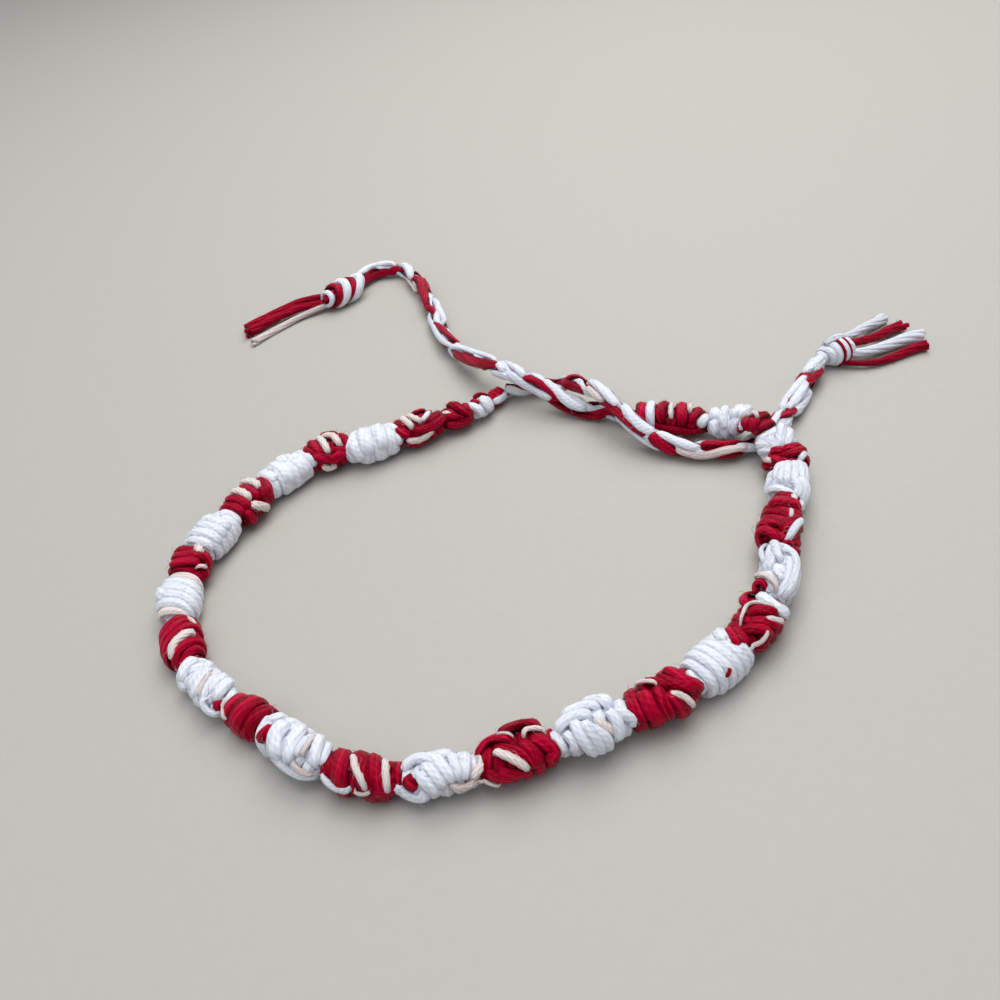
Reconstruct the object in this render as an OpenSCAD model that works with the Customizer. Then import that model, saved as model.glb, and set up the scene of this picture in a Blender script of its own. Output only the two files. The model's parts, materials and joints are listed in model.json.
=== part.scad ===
// A knotted bracelet of red and white cotton floss, lying closed in a loop.
// Its two braided ties cross in a half knot at the back and end in small knots with tassels.
// Millimetres. The band lies on z = 0, and its box is centred on x = 0, y = 0.

/* [Band] */
// Width of the widest group of knots, across the band
band_w = 4.8; // [4.2:0.1:5.2]
// Height of the tallest group of knots above the surface
band_h = 4.0; // [3.4:0.1:4.4]
// Gap between two neighbouring groups of knots
knot_gap = 0.2; // [0.1:0.05:0.5]
// How deep the groove between two wraps of floss is
wrap_groove = 0.3; // [0.1:0.05:0.45]
// Size of a group's ends as a share of its middle
end_share = 0.66; // [0.5:0.02:0.85]

/* [Hump over the tie] */
// How high the band is lifted where it crosses the left tie
hump_h = 2.4; // [2.3:0.1:2.8]
// Half length of the band's lifted stretch
hump_reach = 2.1; // [2:0.1:3]
// Place of the hump's top, along the band from its left end
hump_at = 142.1; // [142:0.1:142.4]

/* [Ties] */
// Diameter of a braided tie
tie_d = 2.1; // [1.8:0.05:2.15]
// Diameter of one cut end of floss at the knot
strip_d = 1.4; // [1.2:0.05:1.6]
// Diameter of a cut end of floss at its tip
strip_tip_d = 1.1; // [0.8:0.05:1.2]
// How much higher a cut end leaves its knot than it lies at its tip
strip_rise = 0.9; // [0:0.1:1.1]

/* [Hidden] */
RED = [0.70, 0.05, 0.14];
WHITE = [0.93, 0.93, 0.95];
PINK = [0.90, 0.62, 0.66];

// Points of a group's section, and how square that section is (1 is an ellipse)
SIDES = 10;
SQUARE = 0.85;
// How late a group narrows towards its ends
END_POWER = 3.5;
// Points of a tie's section
TIE_SIDES = 8;
// Steps of the band's centreline between two of its points
SMOOTH = 12;
// Half the step over which the band's heading is measured
NEAR = 0.2;
// Steps of a cut end of floss, and the spacing of their roots in diameters
STRIP_STEPS = 4;
STRIP_PITCH = 0.7;

// Centreline of the band, from its left end round the front to its right end: x, y
BAND_ROUTE = [
    [3.8, 26.4], [0.5, 23.2], [-6.5, 20.8], [-12.0, 19.0], [-17.0, 18.9], [-22.0, 15.6],
    [-26.5, 10.2], [-29.8, 4.0], [-30.2, -2.0], [-28.6, -8.2], [-24.8, -13.8], [-20.5, -17.6],
    [-15.5, -22.4], [-9.5, -24.9], [-3.0, -25.0], [5.5, -23.5], [14.0, -20.6], [20.8, -15.9],
    [24.2, -11.2], [26.4, -5.2], [29.1, 0.0], [30.4, 3.8], [30.3, 7.0], [28.7, 9.8],
    [25.8, 12.6], [21.0, 14.7], [17.8, 16.8]
];

// Groups of knots in order along the band. Width and height are shares of band_w and band_h.
// colour, length, width, height, wraps
GROUPS = [
    ["red",   2.6, 0.46, 0.50, 2],
    ["white", 2.8, 0.62, 0.64, 2],
    ["red",   3.4, 0.76, 0.74, 2],
    ["red",   5.9, 0.88, 0.84, 4],
    ["white", 5.1, 1.00, 0.92, 4],
    ["red",   5.2, 0.98, 0.88, 4],
    ["white", 5.6, 0.94, 0.86, 4],
    ["red",   5.8, 0.96, 0.86, 4],
    ["white", 5.2, 1.00, 0.88, 4],
    ["red",   3.4, 0.92, 0.86, 3],
    ["white", 5.7, 0.98, 0.92, 5],
    ["red",   5.9, 0.92, 0.88, 4],
    ["white", 7.3, 0.92, 0.88, 5],
    ["red",   4.6, 0.80, 0.88, 3],
    ["white", 6.8, 0.94, 0.96, 5],
    ["red",   6.4, 0.82, 0.94, 5],
    ["white", 6.1, 0.86, 0.96, 4],
    ["red",   6.0, 0.92, 0.94, 4],
    ["white", 6.0, 0.88, 0.98, 4],
    ["red",   6.1, 0.92, 0.92, 4],
    ["white", 5.6, 0.88, 0.88, 4],
    ["red",   5.3, 0.90, 0.88, 4],
    ["white", 6.4, 0.80, 1.00, 4],
    ["red",   6.6, 0.88, 0.98, 4],
    ["white", 5.3, 0.90, 0.96, 4],
    ["red",   2.9, 0.96, 0.82, 2],
    ["white", 2.8, 1.00, 0.58, 2],
    ["red",   2.7, 0.78, 0.50, 2],
    ["white", 3.8, 0.86, 0.80, 3],
    ["red",   8.2, 0.76, 0.80, 6]
];

// Route of the left tie, from the band's left end, under the right tie, over it, under the band's
// lifted corner and out to its knot: x, y, z
TIE_LEFT_ROUTE = [
    [4.4, 26.5, 1.1], [5.7, 26.4, 1.1], [7.3, 26.1, 1.1], [9.2, 25.6, 1.3], [11.0, 24.4, 2.0],
    [12.5, 22.2, 3.1], [13.9, 19.8, 3.4], [15.2, 17.3, 3.4], [16.4, 15.0, 3.0], [17.6, 13.1, 2.3],
    [19.0, 11.6, 1.6], [20.6, 10.5, 1.2], [22.4, 9.6, 1.1], [24.3, 8.9, 1.1], [26.2, 8.5, 1.1],
    [27.9, 8.7, 1.1], [29.5, 9.5, 1.1], [31.1, 10.7, 1.1], [32.7, 12.2, 1.1], [34.5, 14.4, 1.1],
    [36.7, 17.2, 1.1], [38.5, 19.6, 1.2], [39.7, 21.1, 1.4]
];

// Route of the right tie, from the band's right end, under the left tie, over it and back to its
// knot: x, y, z
TIE_RIGHT_ROUTE = [
    [17.4, 17.0, 1.2], [16.2, 18.0, 1.1], [14.4, 19.1, 1.1], [12.5, 20.2, 1.2], [10.8, 21.3, 1.7],
    [9.3, 22.5, 2.4], [7.9, 23.8, 3.1], [6.4, 24.9, 3.4], [5.0, 26.3, 3.4], [3.7, 28.3, 3.2],
    [2.3, 30.6, 2.8], [0.8, 33.3, 2.1], [-0.8, 36.6, 1.5], [-2.0, 40.8, 1.1], [-2.9, 46.2, 1.1],
    [-3.8, 52.0, 1.1], [-4.9, 57.8, 1.1], [-6.6, 61.8, 1.1], [-8.7, 63.6, 1.1], [-11.0, 63.8, 1.1],
    [-12.9, 62.4, 1.2], [-14.1, 60.3, 1.4]
];

// Knots at the ties' ends: x and y of its start, x and y of its end, width, height, wraps
END_KNOTS = [
    ["left",  40.1, 21.6,  43.7, 23.6, 3.6, 3.2, 3],
    ["right", -14.4, 59.9, -17.0, 55.8, 4.4, 3.5, 3]
];

// Where each tassel leaves its knot: x and y of the root's middle, and the way it points, x and y
TASSEL_ROOTS = [
    ["left",  44.6, 24.0,  0.88, 0.47],
    ["right", -19.2, 56.6, -0.92, -0.39]
];

// Four cut ends of floss of each tassel: x and y of the tip, and how far the end bows to its left
LEFT_TIPS = [[52.7, 21.1, -1.8], [53.3, 23.4, -0.4], [52.6, 26.8, 0], [51.0, 29.5, -0.4]];
RIGHT_TIPS = [[-30.5, 53.4, -1.2], [-30.0, 51.8, -0.7], [-29.3, 50.0, -0.3], [-28.2, 46.6, 0.3]];

// A point on the smooth curve from b to c, at share t of the way
function between(a, b, c, d, t) =
    0.5 * (2 * b + (c - a) * t + (2 * a - 5 * b + 4 * c - d) * t * t
           + (3 * b - a - 3 * c + d) * t * t * t);

// The smooth curve through all points of a route
function smooth(route) =
    let (n = len(route))
    [for (i = [0:n - 2], k = [0:SMOOTH - 1])
        between(i > 0 ? route[i - 1] : 2 * route[0] - route[1], route[i], route[i + 1],
                i < n - 2 ? route[i + 2] : 2 * route[n - 1] - route[n - 2], k / SMOOTH),
     route[n - 1]];

// The distance from a line's start to each of its points
function distances(line) =
    [for (i = 0, far = 0; i < len(line);
          far = far + (i < len(line) - 1 ? norm(line[i + 1] - line[i]) : 0), i = i + 1) far];

CENTRE = smooth(BAND_ROUTE);
ALONG = distances(CENTRE);
X_AT = [for (i = [0:len(CENTRE) - 1]) [ALONG[i], CENTRE[i][0]]];
Y_AT = [for (i = [0:len(CENTRE) - 1]) [ALONG[i], CENTRE[i][1]]];

// The centreline's point and its heading at a distance along the band
function at(s) = [lookup(s, X_AT), lookup(s, Y_AT)];
function heading(s) = unit(at(s + NEAR) - at(s - NEAR));
function unit(v) = v / norm(v);

// Where each group starts along the band
function start_of(i) = i == 0 ? 0 : start_of(i - 1) + GROUPS[i - 1][1];

// How high the band is lifted at a distance along it
function lift(s) = hump_h * exp(-pow((s - hump_at) / hump_reach, 2));

// A share of a circle's sine or cosine, pushed out towards a rounded square
function pushed(v) = sign(v) * pow(abs(v), SQUARE);

// The lowest point of a section of height 1 below its middle
LOWEST = pushed(sin(90 - 180 / SIDES)) / 2;

// A section across a heading: centre, heading, width, height
function section(c, d, w, h) =
    [for (k = [0:SIDES - 1])
        let (a = 360 * (k + 0.5) / SIDES - 90)
        [c[0] - d[1] * pushed(cos(a)) * w / 2, c[1] + d[0] * pushed(cos(a)) * w / 2,
         c[2] + pushed(sin(a)) * h / 2]];

// A wrapped form's size at share t of its length, with a crest for each wrap
function swell(t, crest) =
    (end_share + (1 - end_share) * (1 - pow(abs(2 * t - 1), END_POWER)))
    * (crest ? 1 : 1 - 2 * wrap_groove / band_w);

// The faces of a tube whose rings have so many points each
function tube_faces(rings, sides) = [
    [for (k = [sides - 1:-1:0]) k],
    [for (k = [0:sides - 1]) (rings - 1) * sides + k],
    for (r = [0:rings - 2], k = [0:sides - 1])
        let (a = r * sides + k, b = r * sides + (k + 1) % sides)
        each [[a, b, a + sides], [b, b + sides, a + sides]]
];

// One group of knots of the band: its number in GROUPS, from 0
module group(i) {
    row = GROUPS[i];
    w = row[2] * band_w;
    h = row[3] * band_h;
    wraps = row[4];
    low = start_of(i) + knot_gap / 2;
    long = row[1] - knot_gap;
    points = [
        for (r = [0:2 * wraps])
            let (t = r / (2 * wraps), s = low + long * t, f = swell(t, r % 2 == 1), p = at(s))
            each section([p[0], p[1], LOWEST * h + lift(s)], heading(s), w * f, h * f)
    ];
    polyhedron(points = points, faces = tube_faces(2 * wraps + 1, SIDES), convexity = 4);
}

module red_knots(i) {
    color(RED) group(i - 1);
}

module white_knots(i) {
    color(WHITE) group(i - 1);
}

// A braided tie along its route
module tie(route) {
    last = len(route) - 1;
    points = [
        for (i = [0:last])
            let (d = unit(route[min(i + 1, last)] - route[max(i - 1, 0)]),
                 side = unit([-d[1], d[0], 0]), up = cross(d, side))
            for (k = [0:TIE_SIDES - 1])
                let (a = 360 * (k + 0.5) / TIE_SIDES)
                route[i] + (side * cos(a) + up * sin(a)) * tie_d / 2
    ];
    color(PINK) polyhedron(points = points, faces = tube_faces(last + 1, TIE_SIDES), convexity = 6);
}

// The overhand knot at a tie's end: its row in END_KNOTS
module end_knot(row) {
    from = [row[1], row[2]];
    to = [row[3], row[4]];
    w = row[5];
    h = row[6];
    wraps = row[7];
    points = [
        for (r = [0:2 * wraps])
            let (t = r / (2 * wraps), f = swell(t, r % 2 == 1), p = from + (to - from) * t)
            each section([p[0], p[1], LOWEST * h], unit(to - from), w * f, h * f)
    ];
    color(PINK) polyhedron(points = points, faces = tube_faces(2 * wraps + 1, SIDES), convexity = 4);
}

// The cut ends of floss behind a knot, side by side and fused at their root
module tassel(row, tips) {
    left = unit([-row[4], row[3]]);
    color(PINK)
    for (i = [0:len(tips) - 1]) {
        from = [row[1], row[2]] + left * (i - (len(tips) - 1) / 2) * strip_d * STRIP_PITCH;
        to = [tips[i][0], tips[i][1]];
        run = unit(to - from);
        bend = (from + to) / 2 + [-run[1], run[0]] * tips[i][2] * 2;
        for (k = [0:STRIP_STEPS - 1])
            hull() {
                strip_bead(from, bend, to, k / STRIP_STEPS);
                strip_bead(from, bend, to, (k + 1) / STRIP_STEPS);
            }
    }
}

// A bead of a strip at share t of its way, from the knot's middle down to the surface
module strip_bead(from, bend, to, t) {
    d = strip_d + (strip_tip_d - strip_d) * t;
    p = from * pow(1 - t, 2) + bend * 2 * t * (1 - t) + to * pow(t, 2);
    translate([p[0], p[1], d / 2 + strip_rise * pow(1 - t, 2)]) sphere(d = d, $fn = 8);
}

red_knots(1);  // red_knots_01
white_knots(2);  // white_knots_02
red_knots(3);  // red_knots_03
red_knots(4);  // red_knots_04
white_knots(5);  // white_knots_05
red_knots(6);  // red_knots_06
white_knots(7);  // white_knots_07
red_knots(8);  // red_knots_08
white_knots(9);  // white_knots_09
red_knots(10);  // red_knots_10
white_knots(11);  // white_knots_11
red_knots(12);  // red_knots_12
white_knots(13);  // white_knots_13
red_knots(14);  // red_knots_14
white_knots(15);  // white_knots_15
red_knots(16);  // red_knots_16
white_knots(17);  // white_knots_17
red_knots(18);  // red_knots_18
white_knots(19);  // white_knots_19
red_knots(20);  // red_knots_20
white_knots(21);  // white_knots_21
red_knots(22);  // red_knots_22
white_knots(23);  // white_knots_23
red_knots(24);  // red_knots_24
white_knots(25);  // white_knots_25
red_knots(26);  // red_knots_26
white_knots(27);  // white_knots_27
red_knots(28);  // red_knots_28
white_knots(29);  // white_knots_29
red_knots(30);  // red_knots_30
tie(TIE_LEFT_ROUTE);  // tie_left
tie(TIE_RIGHT_ROUTE);  // tie_right
end_knot(END_KNOTS[0]);  // end_knot_left
end_knot(END_KNOTS[1]);  // end_knot_right
tassel(TASSEL_ROOTS[0], LEFT_TIPS);  // tassel_left
tassel(TASSEL_ROOTS[1], RIGHT_TIPS);  // tassel_right
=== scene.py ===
"""Looks of a knotted bracelet of red and white cotton floss that lies closed in a loop.

Every ridge of floss is a swept strand of six plies. The turns of a group lie on the form that its
solid has, the ties are braids of four strands on their routes, and the cut ends fray behind their
knots. Sizes are in millimetres in the shared frame and become metres where a mesh is made.
"""

import json
import logging
import math
from dataclasses import dataclass, field
from enum import Enum

import bpy
import numpy as np
from mathutils import Matrix, Vector

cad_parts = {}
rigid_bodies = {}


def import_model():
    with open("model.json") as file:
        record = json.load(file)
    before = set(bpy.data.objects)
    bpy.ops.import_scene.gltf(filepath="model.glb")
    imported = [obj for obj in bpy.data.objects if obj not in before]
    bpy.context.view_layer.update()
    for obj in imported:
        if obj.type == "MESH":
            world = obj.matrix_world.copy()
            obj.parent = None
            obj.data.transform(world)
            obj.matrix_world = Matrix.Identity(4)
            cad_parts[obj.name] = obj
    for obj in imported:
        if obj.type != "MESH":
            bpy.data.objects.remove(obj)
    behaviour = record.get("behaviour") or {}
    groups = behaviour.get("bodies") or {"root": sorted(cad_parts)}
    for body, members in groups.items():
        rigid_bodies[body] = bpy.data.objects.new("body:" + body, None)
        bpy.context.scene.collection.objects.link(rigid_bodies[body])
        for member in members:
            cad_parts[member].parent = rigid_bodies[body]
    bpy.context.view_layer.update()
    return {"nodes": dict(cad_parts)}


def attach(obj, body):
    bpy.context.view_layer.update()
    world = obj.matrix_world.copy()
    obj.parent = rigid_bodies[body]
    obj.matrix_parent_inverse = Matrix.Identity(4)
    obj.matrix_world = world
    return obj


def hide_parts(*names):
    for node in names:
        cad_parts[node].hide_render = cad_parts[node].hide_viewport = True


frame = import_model()

LOG = logging.getLogger("bracelet")
MM = 0.001
BODY = "root"
SEED = 7


class Floss(Enum):
    """The flosses of the bracelet, each with its index among a piece's materials."""

    RED = 0
    WHITE = 1
    CREAM = 2


# ---------------------------------------------------------------- shader building


class Value:
    """A number socket of a node tree, with the operators of Python."""

    def __init__(self, tree: "Shader", socket: bpy.types.NodeSocket) -> None:
        """Wrap a socket of a shader's tree."""
        self.tree = tree
        self.socket = socket

    def _math(self, operation: str, *values: object) -> "Value":
        """Add a Math node that works on these values."""
        return Value(self.tree, self.tree.node("ShaderNodeMath", {"operation": operation}, *values))

    def __add__(self, other: object) -> "Value":
        """Sum."""
        return self._math("ADD", self, other)

    __radd__ = __add__

    def __sub__(self, other: object) -> "Value":
        """Difference."""
        return self._math("SUBTRACT", self, other)

    def __rsub__(self, other: object) -> "Value":
        """Difference, from a number."""
        return self._math("SUBTRACT", other, self)

    def __mul__(self, other: object) -> "Value":
        """Product."""
        return self._math("MULTIPLY", self, other)

    __rmul__ = __mul__

    def __pow__(self, other: object) -> "Value":
        """Power."""
        return self._math("POWER", self, other)

    def sine(self) -> "Value":
        """Sine of the value in radians."""
        return self._math("SINE", self)

    def cosine(self) -> "Value":
        """Cosine of the value in radians."""
        return self._math("COSINE", self)

    def size(self) -> "Value":
        """The value without its sign."""
        return self._math("ABSOLUTE", self)


class Shader:
    """A material's node tree with its Principled surface."""

    def __init__(self, name: str) -> None:
        """Make an empty material with a Principled surface.

        Args:
            name: The material's name.
        """
        self.material = bpy.data.materials.new(name)
        self.material.use_nodes = True
        self.nodes = self.material.node_tree.nodes
        self.links = self.material.node_tree.links
        self.surface = next(n for n in self.nodes if n.type == "BSDF_PRINCIPLED")

    def node(self, kind: str, settings: dict, *inputs: object, output: int | str = 0) -> bpy.types.NodeSocket:
        """Add a node.

        Args:
            kind: The node's type.
            settings: Its own properties, set before its sockets.
            inputs: Values or links for its sockets in order, or one dict by socket name.
            output: The output that is returned.

        Returns:
            The socket of that output.
        """
        made = self.nodes.new(kind)
        for key, value in settings.items():
            setattr(made, key, value)
        named = inputs[0] if len(inputs) == 1 and isinstance(inputs[0], dict) else dict(enumerate(inputs))
        for key, value in named.items():
            self.set(made.inputs[key], value)
        return made.outputs[output]

    def set(self, socket: bpy.types.NodeSocket, value: object) -> None:
        """Give a socket a value or a link.

        Args:
            socket: The socket.
            value: A number, a colour, another node's socket or a wrapped one.
        """
        if isinstance(value, Value):
            value = value.socket
        if isinstance(value, bpy.types.NodeSocket):
            self.links.new(value, socket)
        else:
            socket.default_value = value

    def value(self, kind: str, settings: dict, *inputs: object, output: int | str = 0) -> Value:
        """Add a node and wrap its number."""
        return Value(self, self.node(kind, settings, *inputs, output=output))

    def noise(self, place: object, scale: float, detail: float, roughness: float = 0.5) -> Value:
        """Add noise.

        Args:
            place: Where it is read, in space or, for a number, along a line.
            scale: Its scale.
            detail: How many finer layers it has.
            roughness: How strong those are.

        Returns:
            The noise.
        """
        line = isinstance(place, Value)
        settings = {"noise_dimensions": "1D" if line else "3D"}
        inputs = {"W" if line else "Vector": place, "Scale": scale, "Detail": detail, "Roughness": roughness}
        return self.value("ShaderNodeTexNoise", settings, inputs, output="Fac")

    def blend(self, share: Value, low: object, high: object) -> bpy.types.NodeSocket:
        """Mix two colours by a share.

        Args:
            share: The share of the second colour.
            low: The first colour, or a link to it.
            high: The second one.

        Returns:
            The socket of the mixed colour.
        """
        sockets = {"Factor": share, "A": low, "B": high}
        made = self.nodes.new("ShaderNodeMix")
        made.data_type = "RGBA"
        for socket in made.inputs:
            wanted = "VALUE" if socket.name == "Factor" else "RGBA"
            if socket.name in sockets and socket.type == wanted:
                self.set(socket, sockets[socket.name])
        return next(s for s in made.outputs if s.type == "RGBA")


@dataclass(frozen=True)
class CottonFinish:
    """A mercerised cotton floss: plies that turn along the strand, fine fibres and a soft sheen.

    Its colours are the painted shade in the valleys between the plies and on the flanks that look away
    from the outside, the floss's own colour, the painted highlight laid on its crowns, and the tint of
    its real sheen. A pattern's rate is its change along a millimetre of strand, its reach its change
    round it, and its shift its change with the strand's tone, so that no two strands look the same.
    """

    name: str
    # Painted shade colour, laid in the valleys between the plies and on the flanks.
    shade: tuple[float, float, float]
    body: tuple[float, float, float]
    # Painted highlight colour, laid on the crowns of the strands.
    light: tuple[float, float, float]
    lustre: tuple[float, float, float]
    roughness: float = 0.46
    roughness_drop: float = 0.12
    roughness_range: float = 0.25
    sheen: float = 0.2
    sheen_roughness: float = 0.4
    glow: float = 0.0
    glow_colour: tuple[float, float, float] = (1.0, 0.8, 0.7)
    glow_depth: float = 0.0006
    gloss: float = 0.45
    # The next three set the painted shade in the valleys between the plies, the painted shade on the flanks
    # that look away from the outside, and the strength of the painted highlight lines along the plies.
    groove: float = 0.55
    hollow: float = 0.6
    satin: float = 0.3
    plies: int = 6
    fibre_pitch: float = 0.5
    sway: float = 0.5
    sway_rate: float = 0.35
    sway_shift: float = 57.0
    fibre_rate: float = 0.3
    fibre_reach: float = 1.3
    fibre_shift: float = 31.0
    fibre_scale: float = 3.2
    fibre_shade: float = 1.5
    rope_shade: float = 0.2
    patch_scale: float = 0.5
    patch_light: float = 0.6
    tone_light: float = 0.4
    least_light: float = 0.55
    streak_rate: float = 0.12
    streak_reach: float = 1.1
    streak_shift: float = 9.0
    streak_scale: float = 2.4
    streak_gain: float = 4.0
    ply_relief: float = 0.3
    rope_relief: float = 0.3
    fibre_relief: float = 0.9
    relief: float = 0.8
    relief_depth: float = 0.00014

    def build(self) -> bpy.types.Material:
        """Make the material.

        Returns:
            A material that reads the strand's own UV map, in millimetres along and turns around, its
            tone, and its crown, which says how far each place looks outwards.
        """
        shader = Shader(self.name)
        uv = shader.node("ShaderNodeUVMap", {"uv_map": "floss"})
        along = shader.value("ShaderNodeSeparateXYZ", {}, uv, output=0)
        around = shader.value("ShaderNodeSeparateXYZ", {}, uv, output=1)
        tone = shader.value("ShaderNodeAttribute", {"attribute_name": "tone"}, output="Fac")
        # The crown drives painted light: flanks that look away from the outside get painted shade, and only
        # the crowns get the painted highlight.
        crest = shader.value("ShaderNodeAttribute", {"attribute_name": "crown"}, output="Fac") ** 0.8
        turn = around * (2 * math.pi)
        bend = shader.noise(along * self.sway_rate + tone * self.sway_shift, 1.0, 1.0)
        laid = turn + (bend - 0.5) * self.sway
        ply = (turn * (self.plies / 2)).cosine().size()
        rope = (turn * self.plies + along * (2 * math.pi / self.fibre_pitch)).sine() * 0.5 + 0.5
        place = shader.node("ShaderNodeCombineXYZ", {}, along * self.fibre_rate,
                            laid.cosine() * self.fibre_reach + tone * self.fibre_shift,
                            laid.sine() * self.fibre_reach)
        fibres = shader.noise(place, self.fibre_scale, 5.0, 0.7)
        patches = shader.noise(place, self.patch_scale, 2.0)
        lane = shader.node("ShaderNodeCombineXYZ", {}, along * self.streak_rate + tone * self.streak_shift,
                           laid.cosine() * self.streak_reach, laid.sine() * self.streak_reach)
        # Painted highlight: thin lines along the plies that stand in for glints of the floss's sheen.
        highlight_streaks = shader.noise(lane, self.streak_scale, 3.0) ** 3 * self.streak_gain
        # Painted shade: the colour darkens towards the shade colour in the valleys between the plies and
        # along their twist, with the fibres' own random tone, and darkens again on the flanks by the crown.
        groove_shade_and_fibres = ply ** 0.4 * self.groove + fibres * self.fibre_shade + rope * self.rope_shade - self.groove
        deep = groove_shade_and_fibres * (crest * self.hollow + (1 - self.hollow))
        # Painted highlight with random variation: the light colour is laid over the crowns by these lines,
        # random patches and the strand's tone.
        highlight_share = highlight_streaks * self.satin + patches * self.patch_light + tone * self.tone_light - self.least_light
        ground = shader.blend(deep, (*self.shade, 1.0), (*self.body, 1.0))
        colour = shader.blend(highlight_share * crest, ground, (*self.light, 1.0))
        height = ply ** 0.5 * self.ply_relief + rope * self.rope_relief + fibres * self.fibre_relief
        bump = {"Strength": self.relief, "Distance": self.relief_depth, "Height": height}
        surface = {
            "Base Color": colour,
            "Normal": shader.node("ShaderNodeBump", {}, bump, output="Normal"),
            "Roughness": fibres * self.roughness_range + (self.roughness - self.roughness_drop),
            "Sheen Weight": self.sheen,
            "Sheen Roughness": self.sheen_roughness,
            "Sheen Tint": (*self.lustre, 1.0),
            "Specular Tint": (*self.lustre, 1.0),
            "Specular IOR Level": self.gloss,
        }
        if self.glow:
            surface |= {
                "Subsurface Weight": self.glow,
                "Subsurface Radius": self.glow_colour,
                "Subsurface Scale": self.glow_depth,
            }
        for name, value in surface.items():
            shader.set(shader.surface.inputs[name], value)
        return shader.material


# In each finish the first colour is painted shade for the ply valleys and flanks, the second the floss's own
# colour, the third a painted highlight for the crowns and the fourth the tint of its real sheen.
FINISHES = {
    Floss.RED: CottonFinish(
        "red_floss", (0.03, 0.0, 0.001), (0.25, 0.0, 0.006), (0.74, 0.006, 0.055), (1.0, 0.03, 0.16),
        roughness=0.36, sheen=0.12, gloss=0.35, groove=0.7, hollow=0.9, satin=0.7,
    ),
    Floss.WHITE: CottonFinish(
        "white_floss", (0.58, 0.59, 0.7), (0.86, 0.89, 0.97), (0.93, 0.96, 1.0), (1.0, 1.0, 1.0),
        glow=0.25, groove=0.32, hollow=0.42,
    ),
    Floss.CREAM: CottonFinish(
        "cream_floss", (0.55, 0.4, 0.38), (0.92, 0.8, 0.77), (0.97, 0.9, 0.87), (1.0, 0.97, 0.94),
        glow=0.25, groove=0.6, hollow=0.75,
    ),
}


# ---------------------------------------------------------------- strands

STEP = 0.24  # between the rings of most strands, in millimetres
LOBES = 6  # of a strand's section, one for each of its plies
# A strand without an outward side gets this crown all round, which sets its painted flank shade and painted
# highlight.
FREE_CROWN = 0.8  # how far outwards a strand looks that has no outward side
TONES = (0.2, 0.8)  # lowest and highest
CALM_TONES = (0.3, 0.7)
PHASES = (0, 6.28)


def unit(v: np.ndarray) -> np.ndarray:
    """Vectors of length 1 in the same directions."""
    return v / np.maximum(np.linalg.norm(v, axis=-1, keepdims=True), 1e-9)


def smooth(points: np.ndarray, steps: int) -> np.ndarray:
    """The smooth open curve through points.

    Args:
        points: The points, one a row.
        steps: Steps between two of them.

    Returns:
        Points on the curve, from its first to its last.
    """
    p = np.asarray(points, float)
    ext = np.vstack([2 * p[:1] - p[1:2], p, 2 * p[-1:] - p[-2:-1]])
    t = (np.arange(steps) / steps)[None, :, None]
    a, b, c, d = (ext[i : len(ext) - 3 + i, None, :] for i in range(4))
    curve = 0.5 * (2 * b + (c - a) * t + (2 * a - 5 * b + 4 * c - d) * t**2 + (3 * b - a - 3 * c + d) * t**3)
    return np.vstack([curve.reshape(-1, p.shape[1]), p[-1:]])


def lengths(line: np.ndarray) -> np.ndarray:
    """The distance from a line's start to each of its points."""
    return np.concatenate([[0.0], np.cumsum(np.linalg.norm(np.diff(line, axis=0), axis=1))])


def evenly(line: np.ndarray, step: float, closed: bool = False) -> np.ndarray:
    """Points at about even steps along a line.

    Args:
        line: Its points, one a row, which may have more columns than the three of their place.
        step: The distance between two points.
        closed: Whether the line returns to its start.

    Returns:
        The points, without the start once more if the line is closed.
    """
    if closed:
        line = np.vstack([line, line[:1]])
    far = lengths(line[:, :3])
    count = max(4, round(far[-1] / step))
    at = np.linspace(0, far[-1], count + 1)
    if closed:
        at = at[:-1]
    return np.stack([np.interp(at, far, line[:, k]) for k in range(line.shape[1])], axis=1)


def nearness(count: int, reach: float) -> np.ndarray:
    """How far the points of a row are from its nearer end: 0 there, and 1 past a share of the row."""
    share = np.linspace(0, 1, count)
    return np.clip(np.minimum(share, 1 - share) / reach, 0, 1)


def barrel(place: np.ndarray, ends: float, power: float) -> np.ndarray:
    """The share of its full size that a barrel has at places along it, from -1 to 1."""
    return ends + (1 - ends) * (1 - np.minimum(np.abs(place), 1.0) ** power)


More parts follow.
